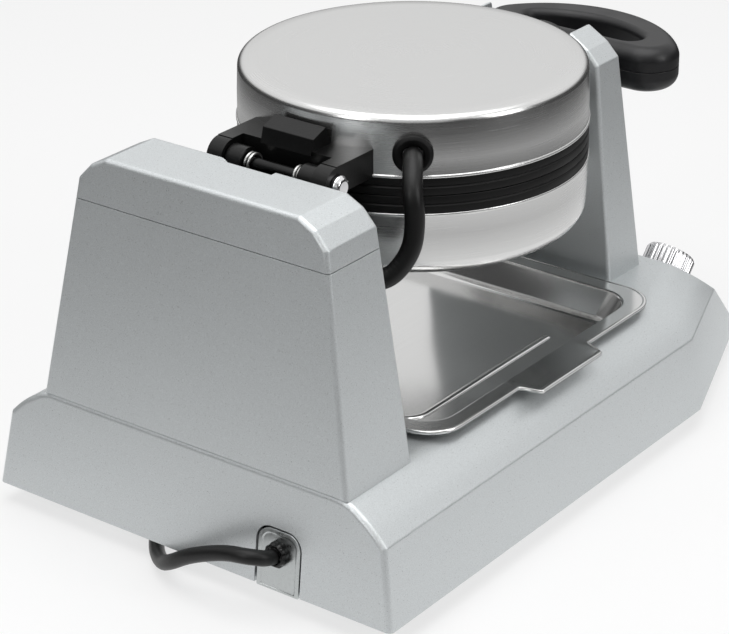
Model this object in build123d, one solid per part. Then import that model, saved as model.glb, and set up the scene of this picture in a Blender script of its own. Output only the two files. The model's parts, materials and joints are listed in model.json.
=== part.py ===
from build123d import *

import os
from math import cos, hypot, pi, radians, sin, sqrt, tan

# Belgian waffle maker that turns over. Two towers on a low base carry a round head; the head
# turns about a level axis, and its upper half opens on a hinge at the back.
# Millimetres, +Z up, handle and dial towards -Y. The origin is the middle of the footprint,
# on the surface that the feet stand on.

# Fits and walls
FIT = 0.3  # round a piece that sits in or beside another
RUNNING = 0.05  # radial, a shaft in its bearing
WALL = 3.0  # moulded housings
SHEET = 1.2  # pressed sheet metal
TOUCH = 0.1  # between curved faces of fixed pieces
PAST = 1.0  # how far a cutter runs past a face

# Cooking head, heights measured from the parting plane
COVER_RADIUS = 98.9
COVER_DRAFT = 0.4
UPPER_DEPTH = 34.8
LOWER_DEPTH = 38.2
UPPER_EDGE_RADIUS = 6.0
LOWER_EDGE_RADIUS = 10.0
RIM_RADIUS = 99.9
RIM_HEIGHT = 1.6
RING_RADIUS = 99.4
RING_HEIGHT = 10.1
RING_LEDGE_RADIUS = 89.5
RING_GROOVE = 0.7
PARTING_GAP = 0.4

# Waffle grids
CELL_DEPTH = 17.0
GRID_FLANGE = 3.2
GRID_FLANGE_RADIUS = 93.4
GRID_FLOOR = 3.0
GRID_WALL_RADIUS = 81.0
GRID_MOUTH_RADIUS = 86.0
PEG_PITCH = 20.0
PEG_BASE = 13.0
PEG_TIP = 9.5
PEG_HEIGHT = 12.0
PEG_EDGE_GAP = 0.5
RIDGE_BASE = 4.0
RIDGE_TIP = 2.4
RIDGE_HEIGHT = 12.0

# Heating elements
HEATER_RADIUS = 56.0
HEATER_WIDTH = 7.0
HEATER_HEIGHT = 7.0
STUD_RADIUS = 2.0
STUD_LENGTH = 9.0
STUD_SPREAD = 16.0
BOARD_RADIUS = 80.0
BOARD_THICKNESS = 4.5

# Base housing, heights measured from its bottom edge
FOOT_HEIGHT = 12.0
BASE_HALF = 137.5
BASE_HEIGHT = 63.6
CREASE_BELOW_TOP = 18.8
CREASE_INSET = 7.3
CREASE_RADIUS = 2.5
SHOULDER_BELOW_TOP = 10.3
SHOULDER_INSET = 16.0
SHOULDER_RADIUS = 55.0
TOP_INSET = 32.7
TOP_RADIUS = 25.0
REAR_LEAN = 6.2  # degrees from upright
PANEL_SLOPE = 43.0  # degrees from level
PANEL_LEDGE = 10.2
NOSE_LIP = 5.0
CORNER_ANGLE = 20.0  # degrees in plan
CORNER_LENGTH = 111.8
BASE_EDGE_RADIUS = 3.5

# Drip tray
TRAY_HALF = 110.0
TRAY_BACK_GAP = 16.6
TRAY_FRONT_GAP = 8.0
TRAY_CORNER = 22.0
TRAY_MOUTH_CORNER = 15.0
TRAY_FLANGE = 12.0
TRAY_DEPTH = 18.0
TRAY_DRAFT = 8.0
TRAY_RIM_ABOVE = 6.0
TRAY_LIP = 3.0
TRAY_CLEARANCE = 1.5
TAB_REACH = 12.0
TAB_OUTER = 59.5
TAB_ROOT = 70.7
TAB_MIDDLE = 0.8
TAB_CORNER = 2.2
BEAD_HALF = 66.0
BEAD_BACK = 36.0
BEAD_LENGTH = 136.0
BEAD_WIDTH = 4.0
BEAD_HEIGHT = 0.8
BEAD_CORNER = 12.0

# Towers
AXIS_ABOVE_BASE = 115.8
REAR_GAP = 44.1
REAR_TOWER_DEPTH = 56.51
TOWER_TAPER = 0.168
CAP_SHOULDERS = ((11.7, 0.0), (20.5, 6.8), (25.6, 16.5))  # above the axis, in from the taper
REAR_TOWER_EDGE_RADIUS = 3.0
CAP_SEAM = 0.5
CAP_TONGUE = 5.0
NOTCH_BOTTOM_HALF = 15.0
NOTCH_TOP_HALF = 20.0
NOTCH_DEPTH = 3.5
FRONT_GAP = 5.7
YOKE_DEPTH = 35.8
YOKE_LEAN = 0.084
YOKE_HALF = 69.0
YOKE_TAPER = 0.1
YOKE_SHOULDER = 18.6  # above the axis
YOKE_CORNER = 27.0
YOKE_CORNER_HALF = 48.0
YOKE_TOP = 35.4
YOKE_SLOT_HALF = 34.5
YOKE_EDGE_RADIUS = 2.5
TOWER_SCREW_INSET = 20.0  # from the edge of the base's top
YOKE_SCREW_INSET = 18.0  # from the yoke's side
TOWER_SCREW_GAP = 3.0  # from the tower's wall
TOWER_WIRE_HALF = 35.0
YOKE_WIRE_HALF = 17.0

# Turning shaft and front hub
SHAFT_RADIUS = 11.0
SHAFT_BORE = 6.0
BUSH_WALL = 4.0
BUSH_LENGTH = 10.0
BUSH_FLANGE = 3.5
BUSH_FLANGE_THICKNESS = 2.0
SHAFT_END = 3.0
COLLAR_WALL = 6.0
COLLAR_LENGTH = 9.0
HUB_RADIUS = 28.0
HUB_END = 6.8
NECK_HALF = 21.0
NECK_HEIGHT = 26.0
NECK_CORNER = 8.0
LINER_BACK = 9.8

# Handle
HANDLE_GAP = 13.2
HANDLE_REACH = 64.0
HANDLE_BOW = 78.4
HANDLE_CORNER = 20.0
HANDLE_HALF_HEIGHT = 14.2
HANDLE_BAR = 24.0
HANDLE_NEAR_BAR = 14.0
HANDLE_HOLE_BOW = 70.0
HANDLE_HOLE_CORNER = 8.0
HANDLE_EDGE_RADIUS = 9.0
HANDLE_HOLE_EDGE_RADIUS = 4.5

# Lid hinge
HINGE_BACK = 22.5  # behind the covers' rims
HINGE_ABOVE_AXIS = 15.1
PIN_RADIUS = 3.5
PIN_OVERHANG = 2.0
PIN_CAP_RADIUS = 6.6
PIN_CAP_DEPTH = 4.4
PIN_CAP_EDGE_RADIUS = 2.0
ARM_OUTER = 40.0
ARM_INNER = 30.0
ARM_END_RADIUS = 10.5
HINGE_RECESS = 9.0
HINGE_PLATE_BELOW_PIN = 5.1
HINGE_PLATE_THICKNESS = 16.0
WEDGE_HALF = 17.0
WEDGE_FAR_HEIGHT = 10.6
WEDGE_NEAR_HEIGHT = 6.6
WEDGE_FOOT = 1.5
WEDGE_FAR_FOOT = 25.0  # behind the pin
WEDGE_FAR_TOP = 21.0
WEDGE_LEAN = 1.0
WEDGE_SINK = 2.0
WEDGE_EDGE_RADIUS = 0.8
KNUCKLE_INNER = 19.0
KNUCKLE_OUTER = 29.5
KNUCKLE_RADIUS = 8.0
BRACKET_HALF = 29.5
BRACKET_BOTTOM = 41.0  # below the axis
BRACKET_TOP = 6.2
BEAM_BELOW_RINGS = 1.0
BRACKET_REACH = 13.0  # past the hinge pin
WEB_THICKNESS = 6.0
BOSS_RADIUS = 15.0
SPRING_RADIUS = 5.3
SPRING_WIRE = 1.7
SPRING_PITCH = 2.3
SPRING_TURNS = 5

# Front panel
PANEL_ROW = 38.7  # down the slope from the panel's top edge
DIAL_X = -61.4
KNOB_RADIUS = 16.0
KNOB_HEIGHT = 18.0
KNOB_TEETH = 40
KNOB_TOOTH = 0.7
KNOB_RECESS = 4.0
KNOB_CROWN = 2.0
KNOB_CROWN_INSET = 3.0
DIAL_PLATE_RADIUS = 24.0
PLATE_THICKNESS = 1.0
DIAL_SHAFT_RADIUS = 3.0
DIAL_SHAFT_REACH = 10.8
BUSHING_RADIUS = 4.6
BUSHING_GAP = 1.0
THERMOSTAT_RADIUS = 17.0
THERMOSTAT_DEPTH = 18.0
LAMP_SPACING = 26.0
LAMP_RADIUS = 4.0
LAMP_BEZEL_RADIUS = 6.0
LAMP_BODY = 12.0
LAMP_RIM = 1.5
LAMP_CROWN_RADIUS = 2.4
LAMP_CROWN = 2.8
LAMP_TOP = 3.3
SWITCH_X = 61.4
SWITCH_LENGTH = 30.0
SWITCH_WIDTH = 22.0
SWITCH_FRAME = 3.0
SWITCH_RIM = 1.5
SWITCH_DEPTH = 16.0
ROCKER_WIDTH = 13.0
ROCKER_RADIUS = 10.5
ROCKER_RISE = 2.2
ROCKER_TILT = 8.0
ROCKER_PIVOT = -2.0

# Underside
PLATE_RECESS = 1.0
FLOOR_PLATE = 2.0
REAR_FOOT = (105.0, 178.0)
FRONT_FOOT = (90.0, -130.0)
FOOT_RADIUS = 13.0
FOOT_TOE_RADIUS = 11.0
FOOT_BORE = 6.0
FOOT_WEB = 3.0
FOOT_EDGE_RADIUS = 1.0
SCREW_RADIUS = 2.0
SCREW_HEAD_RADIUS = 4.0
SCREW_HEAD_HEIGHT = 2.4
SCREW_LENGTH = 14.0
BOSS_WALL = 3.0
BOSS_END = 2.0
WIRE_HOLE = 18.0

# Electrical pieces on the floor plate
TERMINAL_SIZE = (48.0, 20.0, 16.0)
TERMINAL_FROM_CORD = 40.0
TERMINAL_FROM_REAR = 52.0
TERMINAL_PITCH = 16.0
TERMINAL_WELL_RADIUS = 3.0
TERMINAL_WELL_DEPTH = 8.0
CUTOUT_SIZE = (28.0, 24.0, 12.0)
CUTOUT_X = 44.0
CUTOUT_FROM_REAR = 54.0
CUTOUT_CAP_RADIUS = 7.0
CUTOUT_CAP_HEIGHT = 6.0
BUZZER_FROM_PANEL = 24.0
BUZZER_RADIUS = 15.0
BUZZER_HEIGHT = 10.0
BUZZER_PORT_RADIUS = 3.0
BUZZER_PORT_DEPTH = 2.0

# Mains inlet
CORD_X = -63.0
CORD_PLATE_HALF = 14.0
CORD_PLATE_HEIGHT = 34.0
CORD_PLATE_CORNER = 8.5
CORD_PLATE_GAP = 1.2
CORD_PLATE_SINK = 0.6
CORD_PLATE_THICKNESS = 1.6
CORD_PLATE_TAB = 14.0
CORD_TAB_INSET = 2.0
CORD_RING_RISE = 0.5
CORD_RING_WIDTH = 3.0
GLAND_ABOVE_EDGE = 21.0
GLAND_RADIUS = 8.7
GLAND_NECK_RADIUS = 6.5
GLAND_REACH = 4.6
GLAND_BACK = 8.0
GLAND_LOBES = 8
GLAND_LOBE = 0.7
GLAND_LOBE_RADIUS = 2.0
CORD_DIAMETER = 8.6
BENDS_WANTED = 5  # radius in diameters
ARC_SHARE = 0.45  # of a run, for the arc at each end of it

# Mains lead: its middle line from the gland's face to the start of its coil
CORD_ROUTE = [
    (-63.0, 215.36, 33.38),
    (-63.0, 220.73, 33.96),
    (-60.3, 225.4, 34.4),
    (-55.0, 228.5, 34.6),
    (-44.0, 229.5, 33.6),
    (-30.0, 229.5, 29.5),
    (-14.5, 229.0, 20.5),
    (1.0, 226.0, 11.5),
    (16.0, 217.5, 5.6),
    (31.0, 204.0, 4.4),
    (48.5, 178.5, 4.4),
    (71.5, 147.0, 4.4),
    (95.0, 116.5, 4.4),
    (117.0, 86.5, 4.4),
    (140.5, 59.5, 4.4),
    (169.0, 42.0, 4.4),
    (200.0, 42.0, 4.4),
]
COIL_CENTRE = (200.0, -10.0)
COIL_OUTER = 52.0
COIL_PITCH = 9.2
COIL_TURNS = 3.25
COIL_FLOOR = 4.4
PLUG_RADIUS = 18.5
PLUG_FACE_DEPTH = 16.0
PLUG_BODY_LENGTH = 44.0
PLUG_NECK_RADIUS = 6.5
PLUG_PIN_RADIUS = 2.4
PLUG_PIN_LENGTH = 19.0
PLUG_PIN_SPACING = 19.0
PLUG_TAIL = 30.0
PLUG_NECK_FLARE = 2.5
PLUG_SHOULDER = 8.0
PLUG_STEP = 3.0
PLUG_STEP_LENGTH = 2.0
PLUG_EDGE_RADIUS = 1.0

# Lead from the lid to the head, which carries the upper element's current
JUMPER_DIAMETER = 10.9
JUMPER_ANGLE = 36.0  # degrees from the back, towards the mains lead's side
JUMPER_ABOVE_AXIS = 24.3
JUMPER_GROMMET_RADIUS = 11.0
JUMPER_GROMMET_REACH = 4.0
JUMPER_GROMMET_ROOT = 2.0
JUMPER_GLAND_BELOW = 31.0
JUMPER_GLAND_BACK = 25.5
JUMPER_GLAND_REACH = 6.0
JUMPER_GLAND_RADIUS = 8.5
JUMPER_STRAIGHT = 7.0
JUMPER_LEAD_IN = 9.0
JUMPER_BENDS_WANTED = 2  # radius in diameters
JUMPER_ROUTE = [
    (-74.0, 108.0, 205.0),
    (-76.0, 107.5, 190.0),
    (-74.5, 111.0, 174.0),
    (-64.0, 122.0, 161.0),
]

# Worked out from the sizes above
BASE_BOTTOM = FOOT_HEIGHT
BASE_TOP = BASE_BOTTOM + BASE_HEIGHT
CREASE_HEIGHT = BASE_HEIGHT - CREASE_BELOW_TOP
SHOULDER_HEIGHT = BASE_HEIGHT - SHOULDER_BELOW_TOP
TOP_HALF = BASE_HALF - TOP_INSET
AXIS_Z = BASE_TOP + AXIS_ABOVE_BASE
LEAN = tan(radians(REAR_LEAN))
BACK_REACH = RIM_RADIUS + REAR_GAP + REAR_TOWER_DEPTH + LEAN * BASE_HEIGHT
FRONT_REACH = RIM_RADIUS + FRONT_GAP + YOKE_DEPTH + HANDLE_GAP + HANDLE_REACH
HEAD_Y = (FRONT_REACH - BACK_REACH) / 2
REAR_Y = HEAD_Y + BACK_REACH
TOWER_FRONT_Y = HEAD_Y + RIM_RADIUS + REAR_GAP
YOKE_NEAR_Y = HEAD_Y - RIM_RADIUS - FRONT_GAP
YOKE_FAR_Y = YOKE_NEAR_Y - YOKE_DEPTH
PANEL_TOP_Y = YOKE_FAR_Y - PANEL_LEDGE
NOSE_Y = PANEL_TOP_Y - (BASE_HEIGHT - NOSE_LIP) / tan(radians(PANEL_SLOPE))
HANDLE_NEAR_Y = YOKE_FAR_Y - HANDLE_GAP
HANDLE_TIP_Y = HANDLE_NEAR_Y - HANDLE_REACH
HINGE_Y = HEAD_Y + RIM_RADIUS + HINGE_BACK
HINGE_Z = AXIS_Z + HINGE_ABOVE_AXIS
JUMPER_GLAND_Y = HINGE_Y - HINGE_BACK + JUMPER_GLAND_BACK
TRAY_BACK_Y = TOWER_FRONT_Y - TRAY_BACK_GAP
TRAY_FRONT_Y = YOKE_NEAR_Y + TRAY_FRONT_GAP
TRAY_Y = (TRAY_BACK_Y + TRAY_FRONT_Y) / 2
TRAY_RIM_Z = BASE_TOP + TRAY_RIM_ABOVE
TRAY_FLOOR_Z = TRAY_RIM_Z - TRAY_DEPTH
WELL_FLOOR_Z = TRAY_FLOOR_Z - SHEET
FLOOR_PLATE_Z = BASE_BOTTOM + PLATE_RECESS
FLOOR_TOP_Z = FLOOR_PLATE_Z + FLOOR_PLATE
REACH = 2 * (BACK_REACH + FRONT_REACH)
BOTTOM = (Align.CENTER, Align.CENTER, Align.MIN)
REAR_PLANE = Plane(
    origin=(CORD_X, REAR_Y, BASE_BOTTOM),
    x_dir=(-1, 0, 0),
    z_dir=(0, cos(radians(REAR_LEAN)), sin(radians(REAR_LEAN))),
)
PANEL_PLANE = Plane(
    origin=(0, PANEL_TOP_Y, BASE_TOP),
    x_dir=(1, 0, 0),
    z_dir=(0, -sin(radians(PANEL_SLOPE)), cos(radians(PANEL_SLOPE))),
)


def outline(corners):
    """Flat face through corners (x, y, radius); a radius of 0 leaves the corner sharp."""
    face = make_face(Polyline(*[(x, y) for x, y, radius in corners], close=True))
    for x, y, radius in corners:
        if radius > 0:
            face = fillet(face.vertices().sort_by_distance((x, y, 0))[0], radius)
    return face


def both_sides(corners):
    """Right-hand corners from bottom to top, and their mirror images back down."""
    return corners + [(-x, y, radius) for x, y, radius in reversed(corners)]


def inset(corners, wall):
    """The same outline with each side moved in by a wall; corners run anticlockwise."""
    moved = []
    for place, (x, y, radius) in enumerate(corners):
        before = Vector(x, y) - Vector(*corners[place - 1][:2])
        after = Vector(*corners[(place + 1) % len(corners)][:2]) - Vector(x, y)
        first = Vector(-before.Y, before.X).normalized()
        second = Vector(-after.Y, after.X).normalized()
        shift = (first + second) * (wall / (1 + first.dot(second)))
        moved.append((x + shift.X, y + shift.Y, max(radius - wall, 0)))
    return moved


def prism_xy(corners, low, high):
    """Upright solid from an outline in plan."""
    return extrude(Pos(0, 0, low) * outline(corners), high - low, dir=(0, 0, 1))


def prism_xz(corners, near, far):
    """Solid between two depths in y, from an outline in x and z."""
    plane = Plane(origin=(0, near, 0), x_dir=(1, 0, 0), z_dir=(0, -1, 0))
    return extrude(plane * outline(corners), far - near, dir=(0, 1, 0))


def prism_yz(corners, left, right):
    """Solid between two places in x, from a side view in y and z."""
    plane = Plane(origin=(left, 0, 0), x_dir=(0, 1, 0), z_dir=(1, 0, 0))
    return extrude(plane * outline(corners), right - left, dir=(1, 0, 0))


def block(low, high):
    """Box between two corners."""
    size = Vector(*high) - Vector(*low)
    return Pos(*((Vector(*low) + Vector(*high)) * 0.5)) * Box(size.X, size.Y, size.Z)


def upright(x, y, low, high, radius):
    """Vertical cylinder."""
    return Pos(x, y, (low + high) / 2) * Cylinder(radius, high - low)


def along_y(x, z, near, far, radius):
    """Cylinder that lies front to back."""
    return Pos(x, (near + far) / 2, z) * Rot(90, 0, 0) * Cylinder(radius, far - near)


def along_x(y, z, left, right, radius):
    """Cylinder that lies across the object."""
    return Pos((left + right) / 2, y, z) * Rot(0, 90, 0) * Cylinder(radius, right - left)


def on_plane(plane, x, y, low, high, radius):
    """Cylinder that stands on a plane, from one height above it to another."""
    return plane * Pos(x, y, (low + high) / 2) * Cylinder(radius, high - low)


def turned(profile):
    """Solid of revolution about the head's upright middle line, from (radius, height) corners."""
    plane = Plane(origin=(0, 0, 0), x_dir=(1, 0, 0), z_dir=(0, -1, 0))
    return revolve(plane * outline(profile), Axis.Z)


def in_head(solid, upper):
    """Puts a solid that was drawn above a parting plane at z = 0 into the head."""
    side = solid if upper else mirror(solid, about=Plane.XY)
    return Pos(0, HEAD_Y, AXIS_Z) * side


def pair(solid):
    """A solid and its mirror image on the other side of the object."""
    return Compound([solid.solid(), mirror(solid, about=Plane.YZ).solid()])


def housing_form(wall=0.0):
    """Outside of the base, moved in by a wall; with a wall it runs out through the open bottom."""
    drop = 2 * wall
    low = BASE_BOTTOM - drop
    flare = CREASE_INSET / CREASE_HEIGHT
    side = [
        (BASE_HALF + flare * drop, low, 0),
        (BASE_HALF - CREASE_INSET, BASE_BOTTOM + CREASE_HEIGHT, CREASE_RADIUS),
        (BASE_HALF - SHOULDER_INSET, BASE_BOTTOM + SHOULDER_HEIGHT, SHOULDER_RADIUS),
        (TOP_HALF, BASE_TOP, TOP_RADIUS),
    ]
    ends = [
        (REAR_Y + LEAN * drop, low, 0),
        (REAR_Y - LEAN * BASE_HEIGHT, BASE_TOP, 0),
        (PANEL_TOP_Y, BASE_TOP, 0),
        (NOSE_Y, BASE_BOTTOM + NOSE_LIP, 0),
        (NOSE_Y, low, 0),
    ]
    flank = [(-REACH, low, 0)] + side + [(-REACH, BASE_TOP, 0)]
    pivot = Pos(BASE_HALF, NOSE_Y + CORNER_LENGTH, 0)
    corner = prism_xz(inset(flank, wall), -REACH, REACH)
    corner = pivot * Rot(0, 0, -CORNER_ANGLE) * pivot.inverse() * corner
    form = corner & mirror(corner, about=Plane.YZ)
    form &= prism_yz(inset(ends, wall), -REACH, REACH)
    return form & prism_xz(inset(both_sides(side), wall), -REACH, REACH)


def rounded_loops(form, radius, low, inside=-1.0):
    """Rounds the outline of a tower's front and rear faces, above a height and past a half width."""
    faces = form.faces().sort_by(Axis.Y)
    edges = faces[0].edges() + faces[-1].edges()
    chosen = [
        edge for edge in edges if edge.center().Z > low and abs(edge.center().X) > inside
    ]
    return fillet(chosen, radius)


def slab(low, high):
    """Everything between two heights."""
    return block((-REACH, -REACH, low), (REACH, REACH, high))


def screw(x, y, head, length, up=True):
    """Pan-head screw whose head starts at a height and whose shank points up, or down."""
    way = 1 if up else -1
    ends = sorted((head, head + way * SCREW_HEAD_HEIGHT))
    cap = upright(x, y, *ends, SCREW_HEAD_RADIUS)
    ends = sorted((head + way * SCREW_HEAD_HEIGHT, head + way * length))
    return cap + upright(x, y, *ends, SCREW_RADIUS)


def four(function):
    """Runs a function at the four feet and gathers the solids."""
    places = [(side * x, y) for x, y in (REAR_FOOT, FRONT_FOOT) for side in (-1, 1)]
    return Compound([function(x, y).solid() for x, y in places])


def rear_tower_form(wall=0.0):
    """Outside of the rear tower and its cap, moved in by a wall; open at the bottom."""
    low = BASE_TOP - WALL - 2 * wall
    top = AXIS_Z + CAP_SHOULDERS[-1][0]
    side = [(TOP_HALF + TOWER_TAPER * (BASE_TOP - low), low, 0)]
    for above, inward in CAP_SHOULDERS:
        half = TOP_HALF - TOWER_TAPER * (AXIS_ABOVE_BASE + above) - inward
        side.append((half, AXIS_Z + above, REAR_TOWER_EDGE_RADIUS))
    ends = [
        (REAR_Y - LEAN * (low - BASE_BOTTOM), low, 0),
        (REAR_Y - LEAN * (top - BASE_BOTTOM), top, 0),
        (TOWER_FRONT_Y, top, 0),
        (TOWER_FRONT_Y, low, 0),
    ]
    form = prism_xz(inset(both_sides(side), wall), -REACH, REACH)
    form &= prism_yz(inset(ends, wall), -REACH, REACH)
    return form if wall > 0 else rounded_loops(form, REAR_TOWER_EDGE_RADIUS, low + WALL)


def yoke_form(wall=0.0):
    """Outside of the front tower with its open slot, moved in by a wall; open at the bottom."""
    low = BASE_TOP - WALL - 2 * wall
    top = AXIS_Z + YOKE_TOP
    shoulder = YOKE_HALF - YOKE_TAPER * (AXIS_ABOVE_BASE + YOKE_SHOULDER)
    side = [
        (YOKE_HALF + YOKE_TAPER * (BASE_TOP - low), low, 0),
        (shoulder, AXIS_Z + YOKE_SHOULDER, YOKE_EDGE_RADIUS),
        (YOKE_CORNER_HALF, AXIS_Z + YOKE_CORNER, YOKE_EDGE_RADIUS),
        (YOKE_SLOT_HALF, top, 0),
    ]
    ends = [
        (YOKE_NEAR_Y, low, 0),
        (YOKE_NEAR_Y, top, 0),
        (YOKE_FAR_Y + YOKE_LEAN * (top - BASE_TOP), top, 0),
        (YOKE_FAR_Y - YOKE_LEAN * (BASE_TOP - low), low, 0),
    ]
    form = prism_xz(inset(both_sides(side), wall), -REACH, REACH)
    form &= prism_yz(inset(ends, wall), -REACH, REACH)
    half = YOKE_SLOT_HALF + wall
    form -= along_y(0, AXIS_Z, -REACH, REACH, half)
    form -= block((-half, -REACH, AXIS_Z), (half, REACH, top + REACH))
    return form if wall > 0 else rounded_loops(form, YOKE_EDGE_RADIUS, low + WALL, half + FIT)


def tower_screws_at():
    """Where screws come up through the top of the base into the two towers."""
    rear = TOWER_FRONT_Y + WALL + TOWER_SCREW_GAP
    front = YOKE_NEAR_Y - WALL - TOWER_SCREW_GAP
    return [
        (side * x, y)
        for x, y in ((TOP_HALF - TOWER_SCREW_INSET, rear), (YOKE_HALF - YOKE_SCREW_INSET, front))
        for side in (-1, 1)
    ]


def tower_bosses(near, far):
    """Screw bosses that stand on the base inside the tower between two depths."""
    low = BASE_TOP
    bosses = [
        upright(x, y, low, low + SCREW_LENGTH, SCREW_RADIUS + BOSS_WALL)
        - upright(x, y, low, low + SCREW_LENGTH - BOSS_END, SCREW_RADIUS + TOUCH)
        for x, y in tower_screws_at()
        if near < y < far
    ]
    return bosses


def rear_tower_hollow():
    """The rear tower and cap as one open shell on the base's top, with the bearing's hole."""
    shell = rear_tower_form() - rear_tower_form(WALL)
    shell -= housing_form()
    radius = SHAFT_RADIUS + BUSH_WALL + TOUCH
    return shell - along_y(0, AXIS_Z, TOWER_FRONT_Y - PAST, TOWER_FRONT_Y + BUSH_LENGTH, radius)


def rear_tower():
    """Lower part of the rear tower, up to the seam at the turning axis."""
    body = rear_tower_hollow() & slab(0, AXIS_Z)
    for boss in tower_bosses(TOWER_FRONT_Y, REAR_Y):
        body += boss
    return body


def rear_tower_cap():
    """Cap above the seam, with a tongue that drops inside the lower part and a notch in front."""
    seam = AXIS_Z + CAP_SEAM
    cap = rear_tower_hollow() & slab(seam, REACH)
    tongue = rear_tower_form(WALL + TOUCH) & slab(AXIS_Z - CAP_TONGUE, seam + WALL)
    tongue += rear_tower_form(WALL - TOUCH) & slab(seam, seam + WALL)
    tongue -= rear_tower_form(WALL + SHEET)
    radius = SHAFT_RADIUS + BUSH_WALL + TOUCH
    tongue -= along_y(0, AXIS_Z, TOWER_FRONT_Y, TOWER_FRONT_Y + BUSH_LENGTH, radius)
    top = AXIS_Z + CAP_SHOULDERS[-1][0]
    notch = [
        (NOTCH_BOTTOM_HALF, top - NOTCH_DEPTH, 0),
        (NOTCH_TOP_HALF, top + PAST, 0),
    ]
    depth = TOWER_FRONT_Y + WALL + REAR_TOWER_EDGE_RADIUS
    return cap + tongue - prism_xz(both_sides(notch), TOWER_FRONT_Y - PAST, depth)


def rear_bearing():
    """Flanged bush in the rear tower's front wall."""
    bore = SHAFT_RADIUS + RUNNING
    barrel = SHAFT_RADIUS + BUSH_WALL
    front = TOWER_FRONT_Y - BUSH_FLANGE_THICKNESS
    bush = along_y(0, AXIS_Z, front, TOWER_FRONT_Y, barrel + BUSH_FLANGE)
    bush += along_y(0, AXIS_Z, TOWER_FRONT_Y, TOWER_FRONT_Y + BUSH_LENGTH, barrel)
    return bush - along_y(0, AXIS_Z, front - PAST, TOWER_FRONT_Y + BUSH_LENGTH + PAST, bore)


def front_tower():
    """Yoke that holds the front of the head in an open U."""
    tower = yoke_form() - yoke_form(WALL) - housing_form()
    for boss in tower_bosses(YOKE_FAR_Y, YOKE_NEAR_Y):
        tower += boss
    return tower


def front_liner():
    """U of slippery plastic in the yoke's slot, which the hub turns in."""
    inner = HUB_RADIUS + RUNNING
    outer = YOKE_SLOT_HALF
    far = YOKE_NEAR_Y - YOKE_DEPTH + LINER_BACK
    top = AXIS_Z + YOKE_CORNER
    liner = along_y(0, AXIS_Z, far, YOKE_NEAR_Y, outer)
    liner += block((-outer, far, AXIS_Z), (outer, YOKE_NEAR_Y, top))
    liner -= along_y(0, AXIS_Z, far - PAST, YOKE_NEAR_Y + PAST, inner)
    return liner - block((-inner, far - PAST, AXIS_Z), (inner, YOKE_NEAR_Y + PAST, top + REACH))


def tower_screws():
    """Screws that hold both towers, up through the top of the base."""
    head = BASE_TOP - WALL - SCREW_HEAD_HEIGHT
    return Compound([screw(x, y, head, SCREW_LENGTH).solid() for x, y in tower_screws_at()])


def tray_plan(inward, corner, height):
    """The tray's rounded rectangle, moved in from its outer edge."""
    width = 2 * (TRAY_HALF - inward)
    length = TRAY_BACK_Y - TRAY_FRONT_Y - 2 * inward
    return Pos(0, TRAY_Y, height) * RectangleRounded(width, length, corner)


def drip_tray():
    """Pressed tray: sloped walls, flat flange, turned-down lip, finger tab and floor bead."""
    mouth = TRAY_MOUTH_CORNER
    tub = loft(
        [
            tray_plan(TRAY_FLANGE + TRAY_DRAFT - SHEET, mouth, WELL_FLOOR_Z),
            tray_plan(TRAY_FLANGE - SHEET, mouth, TRAY_RIM_Z),
        ],
        ruled=True,
    )
    hollow = loft(
        [
            tray_plan(TRAY_FLANGE + TRAY_DRAFT, mouth - SHEET, TRAY_FLOOR_Z),
            tray_plan(TRAY_FLANGE, mouth - SHEET, TRAY_RIM_Z),
        ],
        ruled=True,
    )
    middle = TRAY_Y + TAB_MIDDLE
    tab = [
        (-TRAY_HALF + TRAY_CORNER, middle - TAB_ROOT / 2, 0),
        (-TRAY_HALF, middle - TAB_ROOT / 2, 0),
        (-TRAY_HALF - TAB_REACH, middle - TAB_OUTER / 2, TAB_CORNER),
        (-TRAY_HALF - TAB_REACH, middle + TAB_OUTER / 2, TAB_CORNER),
        (-TRAY_HALF, middle + TAB_ROOT / 2, 0),
        (-TRAY_HALF + TRAY_CORNER, middle + TAB_ROOT / 2, 0),
    ]
    edge = tray_plan(0, TRAY_CORNER, 0) + outline(tab)
    flange = extrude(Pos(0, 0, TRAY_RIM_Z - SHEET) * edge, SHEET)
    lip = extrude(Pos(0, 0, TRAY_RIM_Z - TRAY_LIP) * edge, TRAY_LIP)
    lip -= extrude(Pos(0, 0, TRAY_RIM_Z - TRAY_LIP) * offset(edge, -SHEET), TRAY_LIP)
    tray = tub + flange + lip - hollow
    outer = BEAD_HALF + BEAD_WIDTH / 2
    bead = RectangleRounded(2 * outer, 2 * BEAD_LENGTH, BEAD_CORNER + BEAD_WIDTH / 2)
    inner = outer - BEAD_WIDTH
    bead -= RectangleRounded(2 * inner, 2 * (BEAD_LENGTH - BEAD_WIDTH), BEAD_CORNER)
    bead &= Pos(0, BEAD_LENGTH / 2) * Rectangle(2 * outer, BEAD_LENGTH)
    start = TRAY_BACK_Y - BEAD_BACK - BEAD_LENGTH
    return tray + extrude(Pos(0, start, TRAY_FLOOR_Z) * bead, BEAD_HEIGHT)


def tray_well_plan(inward, height):
    """Outline of the recess that the tray drops into, moved in."""
    slope = TRAY_DRAFT * TRAY_RIM_ABOVE / TRAY_DEPTH
    edge = TRAY_FLANGE - SHEET + slope - TRAY_CLEARANCE
    return tray_plan(edge + inward, TRAY_MOUTH_CORNER - inward, height)


def cord_arch(gap):
    """Arch of the cord plate in the rear plane, wider all round by a gap."""
    half = CORD_PLATE_HALF + gap
    top = CORD_PLATE_HEIGHT + gap
    corners = [
        (half, 0, 0),
        (half, top, CORD_PLATE_CORNER + gap),
    ]
    return outline(both_sides(corners))


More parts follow.
